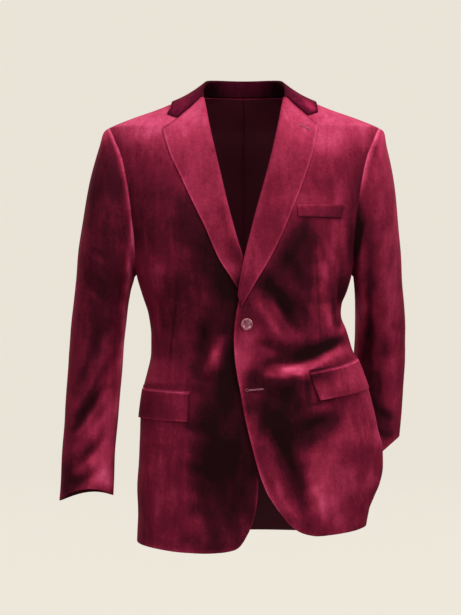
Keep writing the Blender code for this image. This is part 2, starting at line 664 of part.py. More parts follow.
def collar():
    sections = []
    for row in COLLAR[:-1]:
        sections.append(collar_section(row, "left", row is COLLAR[0]))
    sections.append(collar_section(COLLAR[-1], "left", False))
    for row in reversed(COLLAR[:-1]):
        mirrored = collar_section(row, "right", row is COLLAR[0])
        mirrored[:, 0] *= -1
        sections.append(mirrored)
    sections = np.array(sections)
    run = np.linalg.norm(np.diff(sections[:, STAND_POINTS + 1], axis=0), axis=1)
    along = np.concatenate([[0], np.cumsum(run)])
    grid = smooth(np.linspace(0, along[-1], COLLAR_STATIONS), along, sections)
    fall = grid[:, STAND_POINTS:]
    grid[1:-1, STAND_POINTS:] = clear_of_body(fall[1:-1], COLLAR_LIE)
    normal = grid_normals(grid)
    wall("collar", grid + normal * CLOTH, grid, finish=VELVET_DARK)


def sleeve_form(side, turns):
    """Outer points of the sleeve: rings by points, from the armhole to the cuff."""
    rings = SLEEVES[side]
    arm_angle, arm_z = armhole(side, turns)
    loop = ring_point(side, arm_angle, arm_z) + ring_normal(side, arm_angle, arm_z) * SEAM
    sections = [loop]
    for ring in rings:
        outer = np.array([ring.outer_x, ring.outer_z])
        inner = np.array([ring.inner_x, ring.inner_z])
        spot = (outer + inner) / 2 + np.cos(turns)[:, None] * (outer - inner) / 2
        y = ring.middle_y - ring.half_depth * np.sin(turns)
        arch = ring.lift * (CUFF_TILT * np.sin(turns) + (1 - CUFF_TILT) * np.sin(turns) ** 2)
        sections.append(np.stack([spot[:, 0], y, spot[:, 1] + arch], -1))
    sections = np.array(sections)
    middles = [ring.outer_z + ring.inner_z for ring in rings]
    run = [0.0] + [HEAD_RUN + (middles[0] - middle) / 2 for middle in middles]
    at = np.concatenate([[0.0, HEAD_ROLL], np.linspace(run[1], run[-1], SLEEVE_RINGS - 2)])
    return smooth(at, run, sections)


def below_elbow(face):
    """Rows from the elbow to the cuff, a seam's gap below the rows above."""
    rows = face[ELBOW_ROW:].copy()
    step = rows[1] - rows[0]
    rows[0] += step * SEAM / np.linalg.norm(step, axis=-1, keepdims=True)
    return rows


def sleeve_piece(name, side, first, last, low_name=None):
    """A sleeve's wall between two of its seams, in one solid or parted at the elbow."""
    turns = armhole_turn(np.arange(first, last + 1))
    nudge = SEAM / 2 / ARMHOLE_HALF_DEPTH
    turns[0] += nudge
    turns[-1] -= nudge
    grid = sleeve_form(side, turns)
    little = 0.02
    round_it = sleeve_form(side, turns + little) - sleeve_form(side, turns - little)
    normal = np.cross(round_it, np.gradient(grid, axis=0))
    normal /= np.linalg.norm(normal, axis=-1, keepdims=True)
    for face, way in (("front", -1), ("back", 1)):
        rise = fold_rise("sleeve_" + side + "_" + face, grid[..., 0], grid[..., 2])
        grid = grid + normal * (rise * ease(*FOLD_FACING, way * normal[..., 1]))[..., None]
    inner = grid - normal * CLOTH
    if low_name is None:
        wall(name + side, grid, inner, side=side)
        return
    wall(name + side, grid[:ELBOW_ROW + 1], inner[:ELBOW_ROW + 1], side=side)
    wall(low_name + side, below_elbow(grid), below_elbow(inner), side=side)


def corners_grid(corners, size):
    """Angles and heights of a four-cornered piece, and its shares across and down."""
    rows, columns = size
    across = np.linspace(0, 1, columns)[None]
    down = np.linspace(0, 1, rows)[:, None]
    top_angle = corners.front_top_angle + (corners.back_top_angle - corners.front_top_angle) * across
    low_angle = corners.front_low_angle + (corners.back_low_angle - corners.front_low_angle) * across
    top_z = corners.front_top + (corners.back_top - corners.front_top) * across
    low_z = corners.front_low + (corners.back_low - corners.front_low) * across
    angle = np.radians(top_angle * (1 - down) + low_angle * down)
    return angle, top_z * (1 - down) + low_z * down, across, down


def pocket(side):
    corners = FLAPS[side]
    angle, height, across, down = corners_grid(corners, FLAP_GRID)
    stand = LIE + FLAP_STAND * down ** FLAP_STAND_POWER
    stand = stand + corners.curl * (1 - across) ** CURL_ACROSS * down ** CURL_DOWN
    under = front_face(side, angle, height, stand)
    over = front_face(side, angle, height, stand + CLOTH)
    wall("flap_" + side, over, under, side=side)
    jet_angle, jet_z = angle[:1], height[:1]
    rise = np.array([[JET_HEIGHT], [SEAM]])
    jet_angle = np.repeat(jet_angle, 2, 0)
    under = front_face(side, jet_angle, jet_z + rise, LIE)
    over = front_face(side, jet_angle, jet_z + rise, LIE + CLOTH / 2)
    wall("jet_" + side, over, under, side=side)


def breast_welt():
    angle, height = corners_grid(WELT_CORNERS, WELT_GRID)[:2]
    under = front_face("left", angle, height, LIE)
    over = front_face("left", angle, height, LIE + CLOTH)
    wall("breast_welt", over, under)


def button(name, side, spot, thin):
    """Turned disc with a raised rim, standing on the cloth."""
    own_x = spot[0] * sign_of(side)
    seat = front_at(side, np.array([own_x]), np.array([spot[1]]), SEAM)[0]
    axis = ring_normal(side, angle_at_x(side, np.array([own_x]), spot[1]), np.array([spot[1]]))[0]
    level = np.cross(axis, [0.0, 0.0, 1.0])
    level /= np.linalg.norm(level)
    upright = np.cross(level, axis)
    points = []
    for radius, lift in BUTTON_PROFILE:
        for i in range(BUTTON_SIDES):
            turn = 2 * math.pi * i / BUTTON_SIDES
            around = level * math.cos(turn) + upright * math.sin(turn)
            points.append(seat + around * radius + axis * lift * thin)
    rings = len(BUTTON_PROFILE)
    faces = []
    for r in range(rings - 1):
        for i in range(BUTTON_SIDES):
            j = (i + 1) % BUTTON_SIDES
            low, high = r * BUTTON_SIDES, (r + 1) * BUTTON_SIDES
            faces.append((low + i, low + j, high + j, high + i))
    faces.append(tuple(range(BUTTON_SIDES)))
    faces.append(tuple((rings - 1) * BUTTON_SIDES + i for i in range(BUTTON_SIDES)))
    add_object(name, points, faces, HORN, side)


def main():
    for old in list(bpy.data.objects):
        bpy.data.objects.remove(old, do_unlink=True)
    for side in ("right", "left"):
        front(side)
        side_body(side)
        back(side)
        lapel(side)
        sleeve_piece("under_sleeve_", side, SLEEVE_FRONT_SEAM, SLEEVE_BACK_SEAM)
        sleeve_piece("upper_sleeve_", side, SLEEVE_BACK_SEAM, SLEEVE_FRONT_SEAM + ARMHOLE_POINTS, "fore_sleeve_")
        pocket(side)
    collar()
    breast_welt()
    button("button_upper", "left", BUTTON_UPPER, 1.0)
    button("button_lower", "right", BUTTON_LOWER, BUTTON_LOW_PROFILE_SCALE)


main()
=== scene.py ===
import math

import bpy
import numpy as np
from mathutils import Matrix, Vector


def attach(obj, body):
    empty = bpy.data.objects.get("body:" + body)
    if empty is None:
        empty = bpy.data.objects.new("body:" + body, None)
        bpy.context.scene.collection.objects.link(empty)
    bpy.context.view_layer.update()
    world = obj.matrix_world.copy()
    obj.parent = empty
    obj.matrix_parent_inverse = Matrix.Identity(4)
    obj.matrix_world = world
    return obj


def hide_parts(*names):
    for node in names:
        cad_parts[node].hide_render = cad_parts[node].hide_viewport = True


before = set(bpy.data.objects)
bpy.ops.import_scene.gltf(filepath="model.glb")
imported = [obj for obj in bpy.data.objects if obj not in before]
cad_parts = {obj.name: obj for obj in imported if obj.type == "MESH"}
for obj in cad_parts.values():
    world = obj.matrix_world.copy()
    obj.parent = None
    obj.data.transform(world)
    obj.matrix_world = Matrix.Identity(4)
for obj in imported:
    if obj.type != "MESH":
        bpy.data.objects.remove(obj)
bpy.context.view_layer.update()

# Velvet sport coat, filled out as worn. Tables are in mm and degrees, meshes in metres.
# +X is the wearer's left, the front faces -Y. "Own" x runs from the centre front to the piece's own side.
mm = 0.001
cloth = 1.8      # velvet with its canvas
seam = 0.3       # gap between two sewn edges
mirrored = np.array([-1.0, 1.0, 1.0])
print("frame loaded,", len(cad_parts), "solids")


def curveThrough(at, keys, values):
    # smooth curve through the values, without overshoot
    keys, values = np.asarray(keys, float), np.asarray(values, float)
    order = np.argsort(keys)
    keys, values = keys[order], values[order]
    extra = (1,) * (values.ndim - 1)
    step = np.diff(keys)
    slope = np.diff(values, axis=0) / step.reshape((-1,) + extra)
    both, total = slope[:-1] * slope[1:], slope[:-1] + slope[1:]
    tangent = np.zeros_like(values)
    tangent[1:-1] = np.where(both > 0, 2 * both / np.where(total == 0, 1, total), 0)
    tangent[0], tangent[-1] = slope[0], slope[-1]
    at = np.clip(np.asarray(at, float), keys[0], keys[-1])
    i = np.clip(np.searchsorted(keys, at) - 1, 0, len(keys) - 2)
    s = ((at - keys[i]) / step[i]).reshape(at.shape + extra)
    h = step[i].reshape(at.shape + extra)
    return ((1 + 2 * s) * (1 - s) ** 2 * values[i] + s * (1 - s) ** 2 * h * tangent[i]
            + s * s * (3 - 2 * s) * values[i + 1] + s * s * (s - 1) * h * tangent[i + 1])


def column(table, at, name=1):
    # one column of a table, by its first column
    rows = np.asarray(table, float)
    return curveThrough(at, rows[:, 0], rows[:, name])


def ease(start, end, at):
    s = np.clip((np.asarray(at, float) - start) / (end - start), 0, 1)
    return s * s * (3 - 2 * s)


def unit(vectors):
    return vectors / np.linalg.norm(vectors, axis=-1, keepdims=True)


# the body's rings, and how far the left skirt swings out
bodyForm = dict(
    roundness=2.3,
    rings=[  # height, half width, front depth, back depth
        (36, 24, 10, 32), (12, 76, 34, 56), (8, 86, 40, 60), (-4, 116, 55, 70), (-22, 161, 69, 81),
        (-40, 208, 79, 90), (-48, 229, 83, 93), (-70, 230, 93, 99), (-100, 226, 104, 106),
        (-150, 216, 118, 116), (-200, 205, 128, 121), (-250, 193, 134, 122), (-297, 182, 136, 120),
        (-331, 171, 134, 116), (-368, 161, 131, 112), (-399, 158, 128, 110), (-428, 158.5, 127, 111),
        (-464, 165, 128, 115), (-493, 171, 130, 119), (-547, 176.5, 133, 126), (-647, 180, 137, 136),
        (-760, 181, 140, 142)],
    flare=[  # height, out
        (-345, 0), (-368, 8), (-391, 19), (-423, 29), (-443, 37), (-483, 44), (-523, 50), (-556, 56),
        (-588, 64), (-618, 63), (-648, 57), (-673, 46), (-707, 30), (-730, 24)],
    flareTurn=(math.radians(72), math.radians(112)),                   # whole at the first, gone at the second
    # the under front lies inside, and its creases are flatter there
    overlapInset=6.8, overlapSide=(58, 20), overlapTop=(-232, -285), overlapFlat=0.8)


def halfWidth(side, angle, height):
    half = column(bodyForm["rings"], height)
    if side == "right":
        return half
    return half + column(bodyForm["flare"], height) * (1 - ease(*bodyForm["flareTurn"], angle))


def depthAt(height, back):
    return np.where(back, column(bodyForm["rings"], height, 3), column(bodyForm["rings"], height, 2))


def ringPoint(side, angle, height):
    # angle 0 is the centre front, 180 degrees the centre back
    angle, height = np.broadcast_arrays(np.asarray(angle, float), np.asarray(height, float))
    power = 2 / bodyForm["roundness"]
    sine, cosine = np.sin(angle), np.cos(angle)
    x = halfWidth(side, angle, height) * np.sign(sine) * np.abs(sine) ** power
    y = -depthAt(height, cosine < 0) * np.sign(cosine) * np.abs(cosine) ** power
    return np.stack([x, y, height], -1)


def ringNormal(side, angle, height):
    turn, rise = 0.01, 0.5
    roundIt = ringPoint(side, angle + turn, height) - ringPoint(side, angle - turn, height)
    upIt = ringPoint(side, angle, height + rise) - ringPoint(side, angle, height - rise)
    return unit(np.cross(roundIt, upIt))


def angleAtX(side, x, height):
    x = np.asarray(x, float)
    part = np.clip(np.abs(x) / halfWidth(side, np.zeros_like(x), height), 0, 1)
    return np.sign(x) * np.arcsin(part ** (bodyForm["roundness"] / 2))


def angleAtY(y, height):
    y = np.asarray(y, float)
    part = np.clip(np.abs(y) / depthAt(height, y > 0), 0, 1)
    front = np.arccos(part ** (bodyForm["roundness"] / 2))
    return np.where(y > 0, math.pi - front, front)


def slid(side, angle, height, distance):
    # the angle after a short way along the ring
    turn = 0.005
    run = ringPoint(side, angle + turn, height) - ringPoint(side, angle - turn, height)
    return angle + distance * 2 * turn / np.linalg.norm(run, axis=-1)


# Creases by panel: soft ridges (+) and troughs (-) along a bent line.
# start x z, middle x z, end x z, width to the left of the line and to its right, rise.
# x is the side's own; the two outer tables of the sleeves go by depth y instead.
creases = dict(
    front_left=[  # also its side body
        (16, -453, 94, -446, 172, -398, 26, 6, -5.4),    # valley above the hip fold, cut off sharply by it
        (18, -465, 96, -459, 176, -409, 5, 22, 6.6),    # the hip fold itself
        (30, -306, 64, -363, 90, -408, 13, 10, -3.8),    # drag from the button
        (18, -336, 44, -389, 76, -424, 11, 13, 3.4), (70, -310, 100, -350, 126, -398, 9, 12, 2.2),
        (14, -402, 40, -420, 92, -436, 10, 10, -1.6),
        (137, -250, 147, -340, 160, -388, 8, 8, 4.0),    # underarm
        (157, -244, 161, -315, 154, -372, 7, 7, -4.4), (173, -270, 168, -330, 152, -390, 6, 7, 3.0),
        (120, -262, 126, -320, 128, -372, 7, 7, -2.0), (184, -300, 172, -350, 158, -400, 7, 7, -2.6),
        (202, -500, 140, -538, 66, -590, 30, 20, -4.6),    # skirt, turning down to the hem
        (44, -546, 74, -620, 94, -712, 12, 14, -4.2), (222, -690, 170, -722, 112, -746, 40, 24, 6.5),
        (26, -560, 46, -640, 82, -716, 12, 10, 3.4), (112, -640, 124, -690, 130, -735, 7, 9, 2.4),
        (166, -600, 160, -650, 158, -720, 10, 12, -1.6), (60, -140, 120, -165, 190, -150, 24, 24, -1.4),
        (124.4, -256, 123, -324, 104, -416, 1.6, 1.6, -0.9)],    # dart
    front_right=[
        (30, -392, 46, -436, 62, -480, 8, 11, 4.0),    # drag below the button
        (58, -384, 70, -430, 82, -492, 12, 10, -3.0), (14, -350, 30, -392, 40, -440, 12, 9, -2.4),
        (104, -338, 112, -392, 118, -452, 14, 14, 2.2), (150, -256, 140, -330, 132, -396, 8, 10, 2.8),
        (166, -262, 154, -330, 146, -400, 7, 8, -3.0), (176, -290, 166, -350, 160, -400, 8, 8, 2.0),
        (20, -560, 34, -650, 46, -752, 22, 22, -4.4), (80, -540, 90, -650, 94, -752, 18, 22, 4.0),    # skirt
        (128, -570, 132, -650, 132, -752, 16, 18, -2.8), (160, -560, 164, -650, 164, -752, 14, 14, 2.4),
        (60, -150, 120, -180, 190, -160, 24, 24, -1.2),
        (128, -262, 120, -370, 105, -488, 1.6, 1.6, -0.9)],    # dart
    back_left=[
        (44, -318, 96, -340, 140, -366, 16, 11, -4.0),    # across the small of the back
        (46, -352, 98, -374, 144, -398, 9, 16, 4.2), (40, -404, 86, -424, 130, -440, 14, 10, -3.0),
        (20, -286, 70, -296, 120, -318, 14, 14, 2.0), (30, -118, 84, -142, 150, -150, 20, 16, -2.6),
        (96, -190, 128, -240, 140, -300, 11, 14, 3.4), (120, -170, 148, -230, 156, -300, 10, 12, -3.0),
        (76, -480, 86, -610, 94, -745, 22, 26, 4.6), (36, -520, 40, -630, 44, -745, 20, 22, -3.6),
        (120, -520, 132, -620, 138, -745, 16, 16, -3.0)],
    back_right=[
        (40, -334, 92, -350, 136, -362, 16, 11, -3.6), (44, -370, 96, -384, 138, -396, 9, 16, 3.8),
        (36, -416, 84, -430, 128, -440, 14, 10, -2.8), (24, -300, 74, -312, 124, -326, 14, 14, 2.0),
        (30, -124, 84, -146, 150, -148, 20, 16, -2.6), (98, -196, 128, -244, 138, -300, 11, 14, 3.2),
        (122, -176, 148, -236, 154, -300, 10, 12, -2.8), (82, -500, 90, -620, 98, -745, 22, 26, 4.2),
        (40, -530, 44, -640, 50, -745, 20, 22, -3.2), (128, -540, 136, -640, 142, -745, 16, 16, -2.6)],
    sleeve_right_front=[
        (216, -366, 256, -436, 290, -530, 9, 13, -5.0),    # elbow, running out to the cuff
        (220, -404, 256, -484, 286, -546, 10, 8, 4.6), (224, -470, 260, -530, 296, -572, 7, 9, -4.4),
        (220, -512, 254, -570, 290, -608, 10, 9, 3.4), (226, -560, 258, -602, 296, -628, 7, 8, -2.6),
        (260, -258, 240, -268, 222, -282, 6, 6, -1.2), (264, -286, 242, -300, 224, -318, 8, 6, 1.0),
        (268, -316, 246, -332, 226, -352, 6, 8, -1.1), (228, -614, 262, -640, 302, -652, 10, 12, -2.8),
        (238, -110, 252, -160, 264, -230, 14, 14, 1.8), (222, -180, 232, -230, 240, -290, 10, 10, -1.8)],
    sleeve_right_back=[
        (214, -388, 252, -430, 296, -446, 14, 10, -4.4), (212, -430, 250, -468, 294, -484, 9, 14, 4.4),
        (214, -476, 250, -512, 290, -530, 12, 9, -3.4), (216, -350, 250, -380, 286, -392, 9, 12, 3.0),
        (220, -560, 254, -590, 300, -602, 12, 10, 2.4), (232, -120, 250, -190, 262, -280, 16, 16, -2.6)],
    sleeve_left_front=[
        (207, -316, 214, -410, 216, -520, 6, 8, -3.8),    # long dark trough beside the body
        (226, -216, 238, -330, 242, -450, 10, 12, 3.4), (222, -400, 228, -470, 226, -540, 8, 9, -3.6),
        (252, -380, 252, -460, 246, -540, 9, 9, 3.2), (200, -500, 232, -534, 262, -548, 8, 9, -2.6),
        (202, -536, 232, -560, 262, -566, 8, 8, 2.2), (262, -240, 268, -330, 268, -420, 8, 8, -2.0),
        (238, -110, 248, -160, 256, -230, 14, 14, 1.8)],
    sleeve_left_back=[
        (204, -352, 240, -378, 280, -386, 9, 12, 3.6), (204, -396, 240, -420, 280, -430, 12, 9, -4.0),
        (204, -440, 238, -466, 276, -474, 9, 12, 3.6), (204, -486, 236, -508, 270, -518, 12, 9, -3.2),
        (206, -540, 234, -556, 262, -562, 10, 10, 2.4), (230, -120, 244, -190, 254, -280, 16, 16, -2.6)],
    sleeve_right_outer=[
        (52, -340, 10, -366, -40, -396, 12, 9, 2.8), (54, -378, 10, -398, -44, -432, 9, 8, -3.8),
        (52, -412, 8, -430, -46, -464, 8, 11, 4.0), (46, -450, 4, -470, -48, -498, 10, 8, -3.4),
        (40, -500, -4, -520, -54, -544, 8, 11, 2.8), (48, -250, 10, -290, -36, -330, 14, 12, -2.4),
        (32, -580, -20, -600, -62, -612, 10, 10, -2.4), (-40, -130, -24, -190, -14, -260, 12, 14, 2.0)],
    sleeve_left_outer=[
        (118, -306, 70, -342, 16, -372, 10, 13, 2.6), (136, -368, 92, -392, 34, -420, 11, 8, -4.0),
        (142, -402, 96, -424, 34, -452, 8, 11, 4.2), (142, -440, 96, -460, 36, -484, 10, 8, -3.6),
        (132, -480, 88, -500, 36, -520, 8, 10, 3.0), (100, -250, 60, -290, 10, -320, 14, 12, -2.4),
        (110, -530, 70, -548, 24, -560, 9, 9, -2.2), (-30, -130, -10, -190, 6, -260, 12, 14, 2.0)])
restless = dict(  # small unevenness all over: waves by x and by z, phase, rise, and how far they bend
    waves=[(0.041, 0.017, 0.5, 0.55), (-0.023, 0.052, 2.1, 0.45), (0.094, 0.061, 4.0, 0.22),
           (0.013, -0.021, 1.2, 0.8)],
    bend=0.9, bendX=-0.011, bendZ=0.019)


def unrest(x, z):
    total = np.zeros_like(x)
    for byX, byZ, phase, rise in restless["waves"]:
        bend = restless["bend"] * np.sin(restless["bendZ"] * z + restless["bendX"] * x + phase)
        total += rise * np.sin(byX * x + byZ * z + phase + bend)
    return total


creaseLine = dict(steps=41, runOut=0.08, blunt=0.7, uneven=0.16, byX=0.05, byZ=0.07)   # its width is uneven


def foldHeight(panel, x, z):
    # how far the panel's creases stand out at own x and height; they run out at both ends
    form, total = creaseLine, np.zeros_like(x)
    steps = np.linspace(0, 1, form["steps"])
    taper = np.clip(steps * (1 + 2 * form["runOut"]) - form["runOut"], 0, 1)
    taper = np.sin(math.pi * taper) ** form["blunt"]
    for x0, z0, x1, z1, x2, z2, leftWidth, rightWidth, rise in creases.get(panel, ()):
        bendX, bendZ = 2 * x1 - (x0 + x2) / 2, 2 * z1 - (z0 + z2) / 2
        lineX = (1 - steps) ** 2 * x0 + 2 * steps * (1 - steps) * bendX + steps ** 2 * x2
        lineZ = (1 - steps) ** 2 * z0 + 2 * steps * (1 - steps) * bendZ + steps ** 2 * z2
        near = ((x[..., None] - lineX) ** 2 + (z[..., None] - lineZ) ** 2).argmin(-1)
        offX, offZ = x - lineX[near], z - lineZ[near]
        leftOf = np.gradient(lineX)[near] * offZ - np.gradient(lineZ)[near] * offX > 0
        uneven = 1 + form["uneven"] * np.sin(form["byZ"] * z + form["byX"] * x + 3 * rise)
        width = np.where(leftOf, leftWidth, rightWidth) * uneven
        total += rise * taper[near] * np.exp(-(offX ** 2 + offZ ** 2) / width ** 2)
    return total


def frontFace(side, angle, height, out=0.0):
    base = ringPoint(side, angle, height)
    x, z = base[..., 0], base[..., 2]
    lift = unrest(x, z) + foldHeight("front_" + side, x, z)
    move = out + lift
    if side == "right":
        inset = ease(*bodyForm["overlapSide"], x) * ease(*bodyForm["overlapTop"], z)
        move = move - bodyForm["overlapInset"] * inset - np.maximum(lift * inset * bodyForm["overlapFlat"], 0)
    return base + ringNormal(side, angle, height) * np.asarray(move)[..., None]


def frontAt(side, x, z, out=0.0):
    return frontFace(side, angleAtX(side, x, z), z, out)


def plainFace(panel, side, angle, height, facing):
    # creases fade as the panel turns away, so that sewn edges meet
    base, normal = ringPoint(side, angle, height), ringNormal(side, angle, height)
    x, z = base[..., 0], base[..., 2]
    turned = ease(*facing, normal[..., 1])
    return base + normal * (unrest(x, z) + foldHeight(panel, x, z) * turned)[..., None], normal, turned


def gridNormals(grid):
    return unit(np.cross(np.gradient(grid, axis=1), np.gradient(grid, axis=0)))


def edged(count, first, last=None):
    # 0 to 1 in even steps, with two close columns at the free edges so that they roll over tightly
    inner, second, third = np.linspace(0, 1, count), 2.4, 4     # places of the next columns, by the first one's
    start = [0, first, second * first] if first else [0]
    end = [1 - second * last, 1 - last, 1] if last else [1]
    low, high = (third * first if first else inner[1]), (1 - third * last if last else inner[-2])
    return np.r_[start, np.linspace(low, high, count), end]


print("form and creases ready")


def toLinear(code):
    parts = [int(code[i:i + 2], 16) / 255 for i in (1, 3, 5)]
    return tuple(c / 12.92 if c <= 0.04045 else ((c + 0.055) / 1.055) ** 2.4 for c in parts) + (1.0,)


def addNode(tree, kind, inputs=(), **settings):
    # one node with its settings; inputs are (socket, value or another node's socket)
    node = tree.nodes.new(kind)
    for name, value in settings.items():
        setattr(node, name, value)
    for socket, value in inputs:
        if isinstance(value, bpy.types.NodeSocket):
            tree.links.new(value, node.inputs[socket])
        else:
            node.inputs[socket].default_value = value
    return node


def newMaterial(name, values):
    made = bpy.data.materials.new(name)
    made.use_nodes = True
    shader = made.node_tree.nodes["Principled BSDF"]
    for socket, value in values.items():
        shader.inputs[socket].default_value = value
    return made, made.node_tree, shader


def colourFrom(tree, shader, value, stops):
    # the shader's colour, read from a ramp
    ramp = addNode(tree, "ShaderNodeValToRGB", [("Fac", value)])
    elements = ramp.color_ramp.elements
    while len(elements) < len(stops):
        elements.new(0.5)
    for element, (at, code) in zip(elements, stops):
        element.position = at
        element.color = toLinear(code)
    tree.links.new(ramp.outputs["Color"], shader.inputs["Base Color"])


def noiseScale(size):
    # a noise texture's scale for spots of this many mm
    return 1 / (size * mm)


def waveScale(period):
    # a wave texture's scale for bands this many mm apart
    return 2 * math.pi / (20 * period * mm)


# Cotton velvet, cut pile, brushed down: the colour runs from near black to pink by a vertex tone of brushed pile
# patches with painted highlights and painted shade, with upright streaks and clouds where it has been stroked, and
# a fine grain of tufts.
velvetLook = dict(  # first the colour stops and the middle tone of each cloth
    brushed=([(0.0, "#1c080b"), (0.28, "#400d1c"), (0.52, "#711930"), (0.76, "#a3304f"), (1.0, "#d2537a")], 0.42),
    against_nap=([(0.0, "#120207"), (0.42, "#4a0820"), (1.0, "#b42a54")], 0.08),     # the collar
    values={"Roughness": 0.9, "Specular IOR Level": 0.04, "Sheen Weight": 0.2, "Sheen Roughness": 0.4,
            "Sheen Tint": toLinear("#d0305c")},
    streakLong=4.0,
    grains=dict(  # mm, share of the tone, detail, roughness, distortion
        cloud=(60, 0.13, 3.0, 0.5, 0.6), streak=(14, 0.3, 4.0, 0.6, 0.0), mote=(7.0, 0.2, 3.0, 0.65, 0.0),
        pile=(2.4, 0.17, 2.0, 0.5, 0.0)),     # tufts are about 0.5 mm, drawn coarser so that they show
    bumps=[("pile", 0.4, 0.0008), ("streak", 0.3, 0.003)])


def velvet(kind):
    stops, middle = velvetLook[kind]
    made, tree, shader = newMaterial("cotton_velvet_" + kind, velvetLook["values"])
    place = addNode(tree, "ShaderNodeTexCoord").outputs["Object"]
    long = addNode(tree, "ShaderNodeMapping", [("Vector", place), ("Scale", (1, 1, 1 / velvetLook["streakLong"]))])
    # the vertex tone: brushed pile patches plus painted highlights and painted shade from folds, tilt and edges
    napAndShade = addNode(tree, "ShaderNodeAttribute", attribute_name="napAndShade").outputs["Fac"]
    value = addNode(tree, "ShaderNodeMath", [(0, napAndShade), (1, middle)], operation="ADD").outputs[0]
    grains = {}
    for name, (size, share, detail, rough, bent) in velvetLook["grains"].items():
        grains[name] = addNode(tree, "ShaderNodeTexNoise", [
            ("Vector", long.outputs[0] if name == "streak" else place), ("Scale", noiseScale(size)),
            ("Detail", detail), ("Roughness", rough), ("Distortion", bent)]).outputs["Fac"]
        part = addNode(tree, "ShaderNodeMath", [(0, grains[name]), (1, share), (2, -share / 2)],
                       operation="MULTIPLY_ADD").outputs[0]
        value = addNode(tree, "ShaderNodeMath", [(0, value), (1, part)], operation="ADD").outputs[0]
    colourFrom(tree, shader, value, stops)
    below = []
    for name, strength, deep in velvetLook["bumps"]:
        bump = addNode(tree, "ShaderNodeBump", below + [
            ("Strength", strength), ("Distance", deep), ("Height", grains[name])])
        below = [("Normal", bump.outputs[0])]
    tree.links.new(bump.outputs[0], shader.inputs["Normal"])
    return made


plainLooks = dict(
    # Viscose satin lining, woven: dark and smooth, with a soft gloss. Real twill is 0.5 mm, drawn coarser.
    viscose_satin_lining=dict(
        values={"Roughness": 0.5, "Specular IOR Level": 0.22}, kind="ShaderNodeTexWave",
        inputs=[("Scale", waveScale(5.0)), ("Distortion", 1.5)], settings=dict(bands_direction="Z"),
        stops=[(0.0, "#4a0f20"), (1.0, "#521226")]),
    # Polyester resin, turned and polished: wine red with a pale swirl under a clear gloss.
    polyester_resin_polished=dict(
        values={"Roughness": 0.16, "Coat Weight": 0.8, "Coat Roughness": 0.08, "IOR": 1.54},
        kind="ShaderNodeTexNoise", inputs=[("Scale", noiseScale(8.0)), ("Distortion", 2.0)], settings={},
        stops=[(0.3, "#5c1226"), (0.75, "#c86e82")]),
    # Twisted silk buttonhole thread: fine diagonal strands, lighter than the pile. A real turn of the twist is
    # under 1 mm, drawn coarser.
    silk_thread_twisted=dict(
        values={"Roughness": 0.5, "Sheen Weight": 0.3}, kind="ShaderNodeTexWave",
        inputs=[("Scale", waveScale(1.6)), ("Distortion", 1.0)], settings=dict(bands_direction="DIAGONAL"),
        stops=[(0.2, "#5a1228"), (0.8, "#a84a66")]))


def plainMaterial(name):
    look = plainLooks[name]
    made, tree, shader = newMaterial(name, look["values"])
    place = addNode(tree, "ShaderNodeTexCoord").outputs["Object"]
    pattern = addNode(tree, look["kind"], [("Vector", place)] + look["inputs"], **look["settings"])
    colourFrom(tree, shader, pattern.outputs["Fac"], look["stops"])
    return made


velvetBody, velvetCollar = velvet("brushed"), velvet("against_nap")
liningSatin, buttonResin, holeThread = [plainMaterial(name) for name in plainLooks]
print("materials ready")
